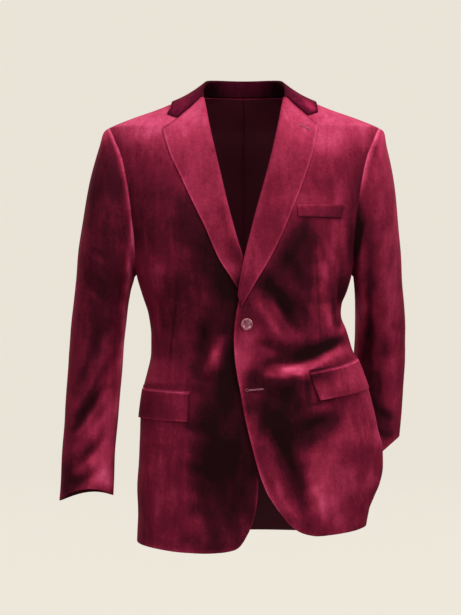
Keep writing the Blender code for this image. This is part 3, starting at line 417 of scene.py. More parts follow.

# Brushed pile patches and painted highlights and shade (folds, shoulders, underarms, flaps) by panel: own x, z,
# reach x, reach z, tilt in degrees, lighter (+) or darker (-)
napAndShadeMarks = dict(
    front_left=[
        (150, -42, 84, 30, 0, 0.07), (142, -79, 40, 21, 0, 0.2), (200, -60, 20, 30, 0, 0.12),    # shoulder
        (150, -140, 60, 44, 0, -0.05),
        (98, -250, 32, 46, 0, -0.26), (64, -276, 15, 60, -30, -0.2),    # beside the lapel
        (52, -330, 15, 52, 45, -0.2), (84, -322, 22, 44, 8, -0.17), (138, -306, 28, 62, 4, 0.15),
        (132, -312, 9, 54, 9, 0.23), (143, -264, 6, 32, 24, 0.12),
        (153, -352, 7, 40, 0, -0.24), (160, -318, 6, 60, 0, -0.06),    # underarm
        (122, -330, 2.2, 80, 3, -0.14), (46, -384, 12, 50, 33, 0.12), (74, -362, 12, 50, 33, -0.16),
        (0, -424, 17, 32, 0, 0.32), (20, -470, 18, 17, 0, -0.3),    # below the button
        (106, -428, 66, 16, 17, -0.34), (128, -420, 44, 8, 20, -0.2), (68, -450, 26, 7, 3, 0.44),    # hip fold
        (106, -464, 16, 8, 7, 0.32), (178, -447, 20, 20, 0, -0.18), (148, -432, 30, 8, 26, 0.1),
        (137, -417, 34, 7, 27, -0.44), (58, -520, 58, 48, 0, -0.44), (114, -556, 44, 20, 30, -0.26),
        (112, -572, 20, 18, 0, -0.18), (122, -516, 24, 12, 0, 0.14), (74, -612, 19, 74, 18, -0.28),
        (58, -572, 22, 36, 20, -0.12), (30, -592, 18, 20, 0, -0.12), (146, -652, 42, 64, 8, 0.24),
        (66, -690, 20, 30, 30, 0.1), (34, -644, 14, 50, 14, 0.2), (116, -656, 16, 56, 0, 0.16),
        (137, -680, 20, 18, 0, 0.2), (54, -668, 12, 30, 0, 0.12), (14, -530, 14, 24, 0, 0.14),
        (110, -736, 46, 9, 0, -0.16), (232, -560, 18, 80, 0, 0.08), (194, -694, 22, 32, 0, 0.15),
        (214, -655, 18, 30, 0, 0.34), (178, -662, 20, 28, 0, 0.14), (174, -706, 14, 10, 0, -0.16),
        (150, -545, 16, 16, 0, -0.14), (176, -235, 8, 60, 0, -0.22), (162, -226, 22, 64, 0, 0.24),
        (18, -392, 26, 18, 0, 0.24), (104, -486, 5, 24, 8, -0.24), (128, -508, 20, 4, 12, -0.24)],
    front_right=[
        (166, -46, 70, 28, 0, 0.14), (157, -66, 40, 16, 0, 0.1), (146, -140, 46, 36, 0, -0.1),
        (140, -196, 34, 54, 0, -0.07), (160, -324, 26, 66, 0, 0.33), (58, -252, 36, 104, -27, -0.36),
        (12, -320, 40, 50, 0, -0.14), (46, -440, 10, 36, 18, 0.26), (72, -430, 12, 60, 12, -0.16),
        (18, -420, 20, 90, 6, -0.22), (22, -580, 66, 160, 0, -0.42), (60, -580, 26, 120, 0, -0.12),
        (84, -712, 18, 14, 20, 0.15), (126, -640, 36, 120, 0, 0.12), (120, -262, 3, 50, -3, 0.1),
        (116, -370, 2.2, 90, 6, -0.14), (130, -484, 60, 5, 0, -0.14), (98, -630, 4, 90, 0, 0.09)],
    lapel_left=[(104, -30, 60, 50, 0, 0.1), (46, -186, 40, 44, 0, -0.05), (24, -292, 40, 50, 0, 0.16)],
    lapel_right=[
        (104, -30, 60, 50, 0, 0.16), (70, -160, 50, 70, 0, 0.06), (34, -276, 26, 36, 0, 0.24),
        (20, -312, 20, 12, 0, -0.16)],
    sleeve_right=[
        (243, -60, 14, 16, 0, 0.2), (214, -120, 22, 56, -12, -0.2), (252, -130, 34, 60, 0, -0.24),
        (240, -230, 36, 90, 0, -0.12), (242, -335, 28, 66, 8, -0.16), (262, -470, 15, 92, 13, -0.16),
        (230, -480, 10, 60, 26, 0.14), (268, -532, 10, 56, 30, -0.18), (248, -628, 24, 24, 0, 0.22),
        (292, -645, 17, 34, 0, -0.3), (190, -262, 7, 56, 4, 0.44), (198, -360, 8, 80, 4, 0.46),
        (206, -450, 7, 70, 6, 0.34), (226, -566, 16, 80, 4, 0.32), (250, -566, 9, 18, 0, 0.16),
        (266, -626, 10, 26, 0, -0.22), (247, -425, 10, 16, 0, -0.1), (246, -518, 10, 24, 0, -0.16),
        (224, -648, 10, 14, 0, 0.24)],
    sleeve_left=[
        (243, -62, 20, 30, 0, 0.14), (240, -190, 30, 100, 0, 0.13), (187, -222, 8, 56, 0, -0.9),
        (197, -356, 12, 84, 0, 0.6), (240, -346, 24, 66, 0, 0.12), (217, -524, 12, 30, 0, -0.28),
        (216, -84, 6, 12, 0, -0.25), (212, -440, 7, 110, 0, -0.18), (228, -500, 13, 54, 0, -0.2),
        (238, -550, 22, 26, 0, -0.4), (258, -350, 15, 170, 0, 0.2), (231, -330, 18, 120, 0, 0.25)],
    collar=[
        (64, 20, 13, 15, 0, -0.16), (-64, 20, 13, 15, 0, -0.16), (110, -14, 13, 7, -32, 0.3),
        (-104, -12, 16, 8, 32, 0.02)],
    sleeve_right_back=[
        (252, -438, 54, 9, -20, -0.26), (252, -462, 54, 8, -20, 0.22), (250, -396, 50, 11, -20, 0.14),
        (250, -506, 46, 10, -20, -0.18), (266, -250, 15, 110, 6, 0.12), (244, -200, 14, 100, 5, -0.16),
        (258, -600, 44, 14, -12, -0.14), (300, -480, 12, 120, 4, 0.08)],
    sleeve_left_back=[
        (240, -366, 50, 9, -18, 0.2), (240, -410, 52, 10, -18, -0.26), (240, -450, 52, 9, -16, 0.22),
        (238, -496, 48, 10, -14, -0.18), (258, -240, 15, 100, 5, 0.12), (238, -190, 14, 90, 5, -0.16),
        (236, -550, 40, 12, -8, 0.12)],
    back_left=[
        (140, -40, 90, 40, 0, 0.08), (150, -190, 26, 80, 8, -0.18), (66, -200, 46, 70, 0, 0.07),    # blade
        (108, -260, 14, 60, 22, 0.12),
        (92, -340, 56, 9, -24, -0.26), (96, -372, 56, 8, -24, 0.24),    # small of the back
        (84, -420, 50, 11, -20, -0.2), (40, -630, 18, 120, 2, -0.2), (84, -620, 17, 120, 4, 0.16),
        (130, -640, 15, 100, 5, -0.16), (20, -470, 14, 60, 0, 0.1)],
    back_right=[
        (140, -40, 90, 40, 0, 0.08), (150, -196, 26, 80, 8, -0.16), (60, -210, 46, 70, 0, 0.07),
        (106, -262, 14, 60, 20, 0.1), (90, -348, 56, 9, -16, -0.24), (94, -384, 56, 8, -16, 0.22),
        (82, -428, 50, 11, -12, -0.18), (46, -640, 18, 120, 3, -0.18), (90, -630, 17, 120, 4, 0.15),
        (136, -650, 15, 100, 4, -0.14), (24, -500, 14, 60, 0, 0.08)],
    flap_right=[(156, -516, 36, 40, 0, -0.14), (94, -526, 26, 14, 0, 0.05)],
    flap_left=[(112, -496, 10, 8, 0, -0.16), (140, -476, 80, 60, 0, -0.05), (170, -464, 30, 14, 0, 0.06)])
ragged = dict(u=(0.031, 0.083, -0.05, 0.19), v=(0.071, 0.043, 0.17, -0.06), coarse=0.14, fine=0.08, sharp=1.5)


def unevenEdge(x, z, direction, phase):
    # a stroke's edge is ragged: a coarse wave and a fine one, by x and z
    coarseX, coarseZ, fineX, fineZ = ragged[direction]
    return (ragged["coarse"] * np.sin(coarseX * x + coarseZ * z + phase)
            + ragged["fine"] * np.sin(fineX * x + fineZ * z))


# sums the listed patches: brushed pile, painted highlights and painted shade
def napAndShadeAt(panel, grid):
    x, z = grid[..., 0], grid[..., 2]
    total = np.zeros_like(x)
    for cx, cz, reachX, reachZ, tilt, strength in napAndShadeMarks.get(panel, ()):
        c, s = math.cos(math.radians(tilt)), math.sin(math.radians(tilt))
        u = ((x - cx) * c + (z - cz) * s) / reachX + unevenEdge(x, z, "u", cx)
        v = (-(x - cx) * s + (z - cz) * c) / reachZ + unevenEdge(x, z, "v", cz)
        total += strength * np.exp(-(u * u + v * v) ** ragged["sharp"])
    return total


# the cloth turns in along a sewn edge; steps are how deep into the seam and how far past its middle
turning = dict(
    close=0.9, steps=[(1.0, 0.1), (2.6, 0.6)],
    edges=dict(top=(0, False), foot=(0, True), start=(1, False), end=(1, True)))    # grid axis, last line or first


def turnIn(grid, normal, napAndShade, edge):
    # with a + after the edge's name, the cloth runs straight on into the seam
    axis, last = turning["edges"][edge.strip("+")]
    both = np.moveaxis(np.concatenate([grid, normal, napAndShade[..., None]], -1), axis, 0)
    if not last:
        both = both[::-1]
    rim, out = both[-1], both[-1, :, 3:6]
    ahead = unit(both[-1, :, :3] - both[-2, :, :3])
    shifts = [-ahead * turning["close"], 0 * ahead]
    for deep, past in turning["steps"]:
        shifts.append(ahead * deep + out * past if edge.endswith("+") else ahead * past - out * deep)
    both = np.concatenate([both[:-1], [np.concatenate([rim[:, :3] + shift, rim[:, 3:]], -1) for shift in shifts]])
    if not last:
        both = both[::-1]
    both = np.moveaxis(both, 0, axis)
    return both[..., :3], both[..., 3:6], both[..., 6]


# painted light: faces that tip up are painted lighter and overhangs darker, as light from above falls on them
tiltLight = dict(gain=0.42, sleeveGain=0.34, steep=1.9, softer=70, shoulder=(-150, -100))


def paintTiltAndEdgeLight(grid, normal, napAndShade, edgeLight, gain):
    real = gridNormals(grid)
    tip = (real * np.sign((real * normal).sum(-1, keepdims=True)))[..., 2]
    soft = tip
    for _ in range(tiltLight["softer"]):     # over the shoulders the change is gradual
        wide = np.pad(soft, 1, mode="edge")
        soft = (wide[:-2, 1:-1] + wide[2:, 1:-1] + wide[1:-1, :-2] + wide[1:-1, 2:] + 2 * soft) / 6
    tip = tip + (soft - tip) * ease(*tiltLight["shoulder"], grid[..., 2])
    napAndShade = napAndShade + gain * np.tanh(tiltLight["steep"] * tip)
    for edge, (width, strength) in edgeLight.items():    # painted highlight (+) or painted shade (-) along an edge
        axis, last = turning["edges"][edge]
        step = np.linalg.norm(np.diff(grid, axis=axis), axis=-1)
        way = np.insert(np.cumsum(step, axis), 0, 0, axis)
        if last:
            way = np.take(way, [-1], axis) - way
        napAndShade = napAndShade + strength * np.exp(-(way / width) ** 2)
    return napAndShade


def addMesh(name, points, faces, *looks):
    # a smooth mesh from points in mm
    mesh = bpy.data.meshes.new(name)
    mesh.from_pydata((np.asarray(points) * mm).tolist(), [], faces)
    for look in looks:
        mesh.materials.append(look)
    mesh.shade_smooth()
    made = bpy.data.objects.new(name, mesh)
    bpy.context.scene.collection.objects.link(made)
    return made


def addPiece(name, slot, nodes, points, faces, *looks):
    piece = addMesh(name, points, faces, *looks)
    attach(piece, "root")
    if nodes:
        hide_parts(*nodes)
    return piece


def sewPiece(name, grid, normal, side, napAndShade=None, shade=0.0, solids=None, thick=cloth,
             outside=velvetBody, inside=liningSatin, sewn=(), edgeLight={}, gain=tiltLight["gain"]):
    # a grid of the outer face becomes a thin shell with rolled rims, standing for its solid
    # the vertex tone: brushed pile patches with painted highlights and painted shade, then painted light by tilt
    # and along edges
    napAndShade = napAndShadeAt(name, grid) + shade if napAndShade is None else napAndShade
    napAndShade = paintTiltAndEdgeLight(grid, normal, napAndShade, edgeLight, gain)
    for edge in sewn:
        grid, normal, napAndShade = turnIn(grid, normal, napAndShade, edge)
    rows, columns = grid.shape[:2]
    lined = np.zeros((rows - 1, columns - 1), int)     # the inmost strip of a turned edge shows the lining
    for edge in sewn:
        axis, last = turning["edges"][edge.strip("+")]
        np.moveaxis(lined, axis, 0)[-1 if last else 0] = 1
    facing = (np.cross(np.gradient(grid, axis=0), np.gradient(grid, axis=1)) * normal).sum(-1).mean()
    at = np.arange(rows * columns).reshape(rows, columns)
    quads = np.stack([at[:-1, :-1], at[1:, :-1], at[1:, 1:], at[:-1, 1:]], -1).reshape(-1, 4)
    if (facing < 0) != (side == "right"):
        quads = quads[:, ::-1]
    points = grid.reshape(-1, 3) * (mirrored if side == "right" else 1)
    piece = addPiece(name + "_cloth", "cotton_velvet", solids or [name], points, quads.tolist(), outside, inside)
    piece.data.attributes.new("napAndShade", "FLOAT", "POINT").data.foreach_set("value", napAndShade.astype(np.float32).ravel())
    piece.data.polygons.foreach_set("material_index", lined.ravel())
    shell = piece.modifiers.new("wall", "SOLIDIFY")
    shell.thickness = thick * mm
    shell.offset = -1
    shell.material_offset = 1
    shell.use_quality_normals = True
    finer = piece.modifiers.new("rolled", "SUBSURF")
    finer.levels = finer.render_levels = 1


# where the armhole lies on the body, and the points that its seams share
armholeForm = dict(top=-48, bottom=-297, halfDepth=62, points=28, frontJoin=10, backJoin=19,
                   sleeveFront=11, sleeveBack=20)


def armhole(turn):
    top, bottom = armholeForm["top"], armholeForm["bottom"]
    height = (top + bottom) / 2 + (top - bottom) / 2 * np.cos(turn)
    return angleAtY(-armholeForm["halfDepth"] * np.sin(turn), height), height


def armTurn(point):
    return 2 * math.pi * np.asarray(point, float) / armholeForm["points"]


# side seams by depth: height, front seam left and right, back seam left and right, back panel's edge
sideSeams = [
    (-200, -49, -49, 56, 56, 56), (-250, -49, -49, 55, 55, 55), (-340, -58, -58, 52, 52, 52),
    (-400, -62, -60, 50, 50, 50), (-425, -64, -61, 50, 50, 50), (-445, -67, -61, 38, 50, 50),
    (-470, -72, -62, 6, 51, 51), (-500, -80, -63, -14, 52, 52), (-590, -88, -65, -26, 55, 55),
    (-760, -82, -66, -20, 58, 58)]
seamColumn = dict(left_front=1, right_front=2, left_back=3, right_back=4, back_edge=5)


def seamLine(side, name, heights, slide):
    y = column(sideSeams, heights, seamColumn[name])
    return slid(side, angleAtY(y, heights), heights, slide)


def outerEdge(side, form, join, name, seamZ, slide):
    # angles and heights down the shoulder, the armhole and the side seam
    shoulder = np.linspace(form["neckTop"], armholeForm["top"], form["shoulderRows"])
    armAngle, armZ = armhole(armTurn(np.linspace(*join, form["armRows"] + 2)[1:-1]))
    ridge = slid(side, np.full(len(shoulder), math.pi / 2), shoulder, slide)
    return np.array([np.r_[ridge, armAngle, seamLine(side, name, seamZ, slide)], np.r_[shoulder, armZ, seamZ]])


def patch(left, right, line, weight, spread):
    # angles and heights in rows from left to right, bent by their weight towards a line across
    rows = left[:, :, None] * (1 - spread) + right[:, :, None] * spread
    straight = line[:, :1] * (1 - spread) + line[:, -1:] * spread
    return rows + weight[:, None] * (line - straight)[:, None]


# Fronts: roll line and front edge, rounded corner, hem. Edge strips are painted highlight (+) or painted shade
# (-), by reach and strength along an edge. Every cut is width, length, area in metres.
frontPanel = dict(
    edge=dict(  # z, own x
        left=[(6, 72), (-2, 69), (-55, 58), (-129, 40.5), (-205, 19.5), (-275, 2.6), (-340, -9.5), (-381, -16.3),
              (-407, -17.6), (-437, -16), (-466, -12), (-491, -7), (-531, 0), (-581, 12), (-624, 24),
              (-656, 36.5), (-682, 53)],
        right=[(6, 73), (-2, 70.5), (-56, 60), (-125, 44.3), (-187, 29.8), (-253, 11.4), (-300, -4), (-345, -16),
               (-390, -22), (-625, -23.2), (-650, -23), (-680, -20), (-705, -14), (-722, -7)]),
    hem=dict(  # own x, z
        left=[(53, -682), (72, -706), (89, -720.5), (106, -727), (121, -729.5), (146, -727.5), (172, -724),
              (205, -719)],
        right=[(-7, -722), (6.6, -744), (17, -751), (39, -755), (72, -756.5), (105, -756), (144, -753),
               (182, -749)]),
    neckTop=6, levelEnd=-520, bendStart=-480, shoulderRows=13, armRows=32, levelRows=56, hemRows=46, columns=50,
    rolledEdge=1.3 / 220, rolledHem=1.2 / 200, edgeLight=dict(start=(5, 0.25), foot=(5, 0.15)),
    cut=dict(left=(0.24, 0.80, 0.142), right=(0.25, 0.82, 0.152)))


def frontSeamHeights(side):
    # level rows down to the hip, then rows that bend with the hem
    form, hem = frontPanel, frontPanel["hem"][side]
    top = float(armhole(armTurn(armholeForm["frontJoin"]))[1])
    foot = hem[-2][1]
    for _ in range(3):     # three rounds find where the seam meets the hem
        angle = seamLine(side, side + "_front", np.array([foot]), 0.0)
        foot = float(column(hem, ringPoint(side, angle, np.array([foot]))[0, 0]))
    low = np.r_[np.linspace(0, 1, form["hemRows"] + 1)[1:-1], 1 - form["rolledHem"], 1]
    level = np.linspace(top, form["levelEnd"], form["levelRows"] + 1)
    return np.r_[level, form["levelEnd"] + (foot - form["levelEnd"]) * low]


def sewFront(side):
    form, edge, hem = frontPanel, frontPanel["edge"][side], frontPanel["hem"][side]
    (cornerZ, cornerX), levelEnd, hemRows = edge[-1], form["levelEnd"], form["hemRows"] + 1
    seamZ = frontSeamHeights(side)
    right = outerEdge(side, form, (0, armholeForm["frontJoin"]), side + "_front", seamZ, -seam / 2)
    low = (seamZ[-hemRows:] - levelEnd) / (seamZ[-1] - levelEnd)
    leftZ = np.r_[right[1, :-hemRows], levelEnd + (cornerZ - levelEnd) * low]
    left = np.array([angleAtX(side, column(edge, leftZ), leftZ), leftZ])
    spread = edged(form["columns"], form["rolledEdge"])
    seamX = ringPoint(side, *right[:, -1:])[0, 0]
    hemX = cornerX + (seamX - cornerX) * spread
    hemZ = column(hem, hemX)
    hemLine = np.array([angleAtX(side, hemX, hemZ), hemZ])
    angle, z = patch(left, right, hemLine, ease(form["bendStart"], cornerZ, leftZ), spread)
    sewPiece("front_" + side, frontFace(side, angle, z), ringNormal(side, angle, z), side,
             sewn=["end"], edgeLight=form["edgeLight"])


# Side bodies; on the left the back seam opens into a vent, and the free edge stands out.
sidePanel = dict(backHem=-745, ventTop=-440, ventHem=-717, columns=20, fade=3, facing=(0.4, -0.1),
                 cut=dict(left=(0.17, 0.50, 0.043), right=(0.175, 0.53, 0.057)))


def backSeamHeights(rows):
    top = float(armhole(armTurn(armholeForm["backJoin"]))[1])
    return np.linspace(top, sidePanel["backHem"], rows)


def sewSideBody(side):
    form, first, last = sidePanel, armholeForm["frontJoin"], armholeForm["backJoin"]
    frontZ = frontSeamHeights(side)
    backZ = backSeamHeights(len(frontZ))
    if side == "left":
        vent = form["ventTop"]
        shorter = (form["ventHem"] - vent) / (form["backHem"] - vent)
        backZ = np.where(backZ < vent, vent + (backZ - vent) * shorter, backZ)
    spread = np.linspace(0, 1, form["columns"])
    left = np.array([seamLine(side, side + "_front", frontZ, seam / 2), frontZ])
    right = np.array([seamLine(side, side + "_back", backZ, -seam / 2), backZ])
    top = np.array(armhole(armTurn(first + spread * (last - first))))
    top[:, 0], top[:, -1] = left[:, 0], right[:, 0]
    angle, z = patch(left, right, top, np.linspace(1, 0, len(frontZ)) ** form["fade"], spread)
    grid, normal, turned = plainFace("front_" + side, side, angle, z, form["facing"])
    napAndShade = napAndShadeAt("front_" + side, grid) * turned    # brushed pile and painted highlights and shade run on round the side
    sewPiece("side_body_" + side, grid, normal, side, napAndShade, sewn=["start", "end", "top"])


backPanel = dict(
    neckTop=8, hemLift=dict(left=7.0, right=0.0), hemLiftFrom=-600, shoulderRows=11, armRows=26, seamRows=74,
    columns=30, rolled=0.008, facing=(0.42, 0.72),
    # painted shade along the seam edges, painted highlight along the hem
    edgeLight=dict(end=(1.6, -0.18), start=(1.6, -0.18), foot=(4, 0.12)), cut=(0.27, 0.80, 0.155))


def sewBack(side):
    form, join = backPanel, (armholeForm["points"], armholeForm["backJoin"])
    seamZ = backSeamHeights(form["seamRows"])
    sideAngle, height = outerEdge(side, form, join, "back_edge", seamZ, seam / 2)[..., None]
    centre = slid(side, np.full(height.shape, math.pi), height, -seam / 2)
    spread = edged(form["columns"], form["rolled"], form["rolled"])
    angle = sideAngle * (1 - spread) + centre * spread
    lift = form["hemLift"][side] * (1 - spread) ** 3     # the hem rises to the side
    z = height + lift * ease(form["hemLiftFrom"], sidePanel["backHem"], height)
    grid, normal, _ = plainFace("back_" + side, side, angle, z, form["facing"])
    sewPiece("back_" + side, grid, normal, side, sewn=["start", "end"], edgeLight=form["edgeLight"])


# Lapels: roll line and outer edge from the gorge to the break, wrapped round the front's edge.
lapelPiece = dict(
    rows=dict(  # roll z, edge x, edge z
        left=[(-3.2, 122.5, -48), (-45, 113.5, -94), (-100, 97, -145), (-155, 82, -183), (-205, 59, -237),
              (-252, 40, -275), (-300, 20, -308), (-338, -5, -351)],
        right=[(-3.2, 136, -54), (-46, 123, -98), (-97, 109, -128), (-145, 87, -175), (-196, 64, -222),
               (-246, 41, -275), (-280, 25, -300), (-308, 11, -322)]),
    wrap=[(-1.7, -1.1), (-2.3, -0.3), (-2.4, 1.0), (-1.9, 2.2), (-1.0, 3.0), (0.8, 3.8), (2.6, 4.1)],
    wrapShare=0.4, lie=1.2, roll=3.4, rollWidth=16, count=64, strips=24, first=0.08, close=(0.97, 0.985),
    # painted highlight along the outer edge, painted shade along the top
    breakShare=0.33, breakRise=0.35, dipShare=0.26, edgeLight=dict(end=(2.6, 0.2), top=(3, -0.2)),
    cut=dict(left=(0.10, 0.38, 0.0212), right=(0.11, 0.36, 0.0208)))
notches = dict(left=(106, -32.6, 123.5, -26, 0.0), right=(111.5, -36.2, 129, -29.5, 2.6))   # x, z, tip x z, dip


def sewLapel(side):
    form, table = lapelPiece, np.array(lapelPiece["rows"][side], float)
    steps = np.linspace(0, 1, form["count"])
    rollZ, edgeX, edgeZ = curveThrough(steps * (len(table) - 1), np.arange(len(table)), table).T
    rollX = column(frontPanel["edge"][side], rollZ)
    roll = np.stack([rollX, rollZ], -1)
    run = np.stack([edgeX, edgeZ], -1) - roll
    length = np.linalg.norm(run, axis=1, keepdims=True)
    across = run / length
    taper = form["breakRise"] + (1 - form["breakRise"]) * ease(1, 1 - form["breakShare"], steps)
    strips = []
    for past, out in form["wrap"]:
        spot = roll + across * np.minimum(past, form["wrapShare"] * length)
        strips.append(frontAt(side, *spot.T, out * taper))
    notchX, dip, last = notches[side][0], notches[side][4], form["wrap"][-1][0]
    notchPart = (notchX - rollX[0]) / (table[0, 1] - rollX[0])
    fade = ease(form["dipShare"], 0, steps)
    flat, rolled = form["close"]
    for part in np.r_[np.linspace(form["first"], flat, form["strips"]), rolled, 1]:
        reach = last + (length - last) * part
        spot = roll + across * np.maximum(reach, form["wrapShare"] * length * part)
        sag = dip * min(part / notchPart, (1 - part) / (1 - notchPart))
        bump = form["roll"] * taper * np.exp(-(reach[:, 0] / form["rollWidth"]) ** 2)
        strips.append(frontAt(side, spot[:, 0], spot[:, 1] - sag * fade, form["lie"] + bump))
    under = np.stack(strips, 1)
    normal = gridNormals(under)
    normal *= np.where(normal[..., 1].mean() > 0, -1, 1)
    sewPiece("lapel_" + side, under + normal * cloth, normal, side,
             inside=velvetBody, edgeLight=form["edgeLight"])


# Collar: stand and fall in one, from the notch round the neck to the other notch.
collarPiece = dict(
    rows=[  # crease x y z, leaf edge's angle and z, foot x y z
        (70, -46, -0.4, 42, -28, 68.5, -43.5, -0.8), (70, -33, 12, 53, -17, 71, -28.5, 8.6),
        (67.5, -14, 23, 73.5, -8, 82.5, -13, 8.6), (62.5, 6, 31.5, 90, -4.5, 83.5, 4, 8.7),
        (51, 30, 35, 118, -8, 70.5, 31, 8.7), (28, 51, 37, 150, -12, 38.5, 51.5, 8.7),
        (0, 58, 37.5, 180, -15, 0, 59, 8.7)],
    lie=1.3, fold=1.6, sag=-3.0, stand=3, fall=7, gorgeStart=0.06, stations=96, across=28, rolled=0.003,
    close=(0.2, 0.08), ends=4,     # steps from the leaf's edge; lines at each notch that already lie on the front
    # painted shade along the leaf's edge and at both ends
    edgeLight=dict(end=(3.5, -0.22), top=(3.5, -0.22), foot=(3.5, -0.22)), cut=(0.12, 0.48, 0.0325))


def collarSection(row, side, gorge):
    form, fold, foot = collarPiece, np.array(row[0:3], float), np.array(row[5:8], float)
    stand = [foot + (fold - foot) * part for part in np.linspace(0, 1, form["stand"])]
    if gorge:
        start, notch, tip = fold[[0, 2]], np.array(notches[side][:2]), np.array(notches[side][2:4])
        parts = np.linspace(form["gorgeStart"], 1, form["fall"] - 1)
        spots = [start + (notch - start) * part for part in parts] + [tip]
        return np.array(stand + [frontAt(side, *spot, form["lie"]) for spot in spots])
    angle = math.radians(row[3])
    edge = ringPoint("right", angle, row[4]) + ringNormal("right", angle, row[4]) * form["lie"]
    top = fold + unit(edge - fold) * form["fold"]
    sag = np.array([0, 0, form["sag"]])
    parts = np.linspace(0, 1, form["fall"])
    return np.array(stand + [top + (edge - top) * part + sag * math.sin(math.pi * part) for part in parts])


def clearOfBody(points, gap):
    # moves points out until they lie this far off the body
    power, step = bodyForm["roundness"], 0.25

    def measure(spots):
        x, y, z = np.moveaxis(spots, -1, 0)
        return (np.abs(x) / column(bodyForm["rings"], z)) ** power + (np.abs(y) / depthAt(z, y > 0)) ** power - 1

    slope = [measure(points + move) - measure(points - move) for move in step * np.eye(3)]
    slope = np.stack(slope, -1) / (2 * step)
    size = np.linalg.norm(slope, axis=-1, keepdims=True)
    return points + slope / size * np.maximum(gap - measure(points)[..., None] / size, 0)


def sewCollar():
    form, rows = collarPiece, collarPiece["rows"]
    sections = [collarSection(row, "left", row is rows[0]) for row in rows]
    sections += [collarSection(row, "right", row is rows[0]) * mirrored for row in reversed(rows[:-1])]
    sections = np.array(sections)
    run = np.linalg.norm(np.diff(sections[:, form["stand"] + 1], axis=0), axis=1)
    way = np.r_[0, np.cumsum(run)]
    grid = curveThrough(edged(form["stations"], form["rolled"], form["rolled"]) * way[-1], way, sections)
    across = np.arange(sections.shape[1])
    flat, rolled = across[-1] - np.array(form["close"])
    finer = np.r_[np.linspace(0, flat, form["across"]), rolled, across[-1]]
    grid = np.stack([curveThrough(finer, across, line) for line in grid])
    inner, leaf = slice(form["ends"], -form["ends"]), finer >= form["stand"]
    grid[inner, leaf] = clearOfBody(grid[inner, leaf], form["lie"])
    normal = gridNormals(grid)
    sewPiece("collar", grid + normal * cloth, normal, "left",
             outside=velvetCollar, inside=velvetCollar, edgeLight=form["edgeLight"])


# Sleeves: rings from the armhole to the cuff, cut as an upper and an under piece.
sleevePiece = dict(
    rings=dict(  # outer x z, inner x z, middle y, half depth, arch of the front edge
        right=[
            (238, -53, 186, -301, 0, 66, 0), (246, -78, 187.5, -306, 1, 69, 0),
            (254, -110, 189.5, -313, 2, 72, 0), (263, -147, 192, -322, 3, 74, 0),
            (271, -187, 194, -334, 4, 74, 0), (279, -238, 197, -352, 5, 72, 0),
            (285.5, -294, 200, -376, 5, 69, 0), (290.5, -348, 203, -404, 4, 66, 0),
            (295, -402, 206, -438, 2, 62, 0), (299, -455, 209, -474, -2, 59, 0),
            (303, -511, 212, -515, -8, 55, 3), (306.5, -570, 215, -566, -16, 51, 7),
            (309, -628, 217.5, -619, -24, 48, 13), (311, -678, 219, -669, -30, 46, 18)],
        left=[
            (238, -53, 186, -301, 0, 66, 0), (243.5, -80, 187, -306, 3, 69, 0),
            (250, -114, 188, -313, 8, 72, 0), (257, -154, 189, -323, 16, 74, 0),
            (263, -200, 190, -336, 27, 74, 0), (268.5, -250, 191, -353, 41, 72, 0),
            (274, -300, 192, -376, 56, 69, 0), (278.5, -350, 192.5, -402, 71, 66, 0),
            (281, -396, 192, -430, 83, 62, 2), (281, -438, 190.5, -466, 89, 58, 4),
            (278.5, -484, 189, -510, 86, 54, 6), (274, -530, 188.5, -572, 71, 50, 4),
            (268.5, -574, 189, -638, 50, 46, 3)]),
    tilt=0.35, headRun=6.0, headRoll=2.0, count=98, rolled=0.0022, settleRows=6, napAndShadeTurn=(0.05, 0.45),
    faces=(  # table, by x or y, its way and turn
        ("front", 0, (0, -1), (0.05, 0.45)), ("back", 0, (0, 1), (0.05, 0.45)),
        ("outer", 1, (0.6, 0.8), (0.5, 0.95))),
    pieces=(  # name, first and last seam, columns, its solids
        ("upper_sleeve_", "sleeveBack", "sleeveFront", 46, ("upper_sleeve_", "fore_sleeve_")),
        ("under_sleeve_", "sleeveFront", "sleeveBack", 26, ("under_sleeve_",))),
    # painted highlight along the armhole seam
    edgeLight=dict(top=(2.4, 0.4)),
    cut=dict(upper_sleeve_right=(0.30, 0.66, 0.136), under_sleeve_right=(0.17, 0.52, 0.047),
             upper_sleeve_left=(0.30, 0.60, 0.118), under_sleeve_left=(0.17, 0.49, 0.044)))


def sleeveForm(side, turns):
    form, rings = sleevePiece, sleevePiece["rings"][side]
    cosine, sine = np.cos(turns), np.sin(turns)
    armAngle, armZ = armhole(turns)
    sections = [ringPoint(side, armAngle, armZ) + ringNormal(side, armAngle, armZ) * seam]
    for outerX, outerZ, innerX, innerZ, middleY, halfDepth, lift in rings:
        x, z = [(outer + inner) / 2 + cosine * (outer - inner) / 2
                for outer, inner in ((outerX, innerX), (outerZ, innerZ))]
        arch = lift * (form["tilt"] * sine + (1 - form["tilt"]) * sine ** 2)
        sections.append(np.stack([x, middleY - halfDepth * sine, z + arch], -1))
    middles = [ring[1] + ring[3] for ring in rings]
    run = [0.0] + [form["headRun"] + (middles[0] - middle) / 2 for middle in middles]
    steps = edged(form["count"], 0, form["rolled"])
    at = np.r_[0.0, form["headRoll"], run[1] + (run[-1] - run[1]) * steps]
    return curveThrough(at, run, np.array(sections))


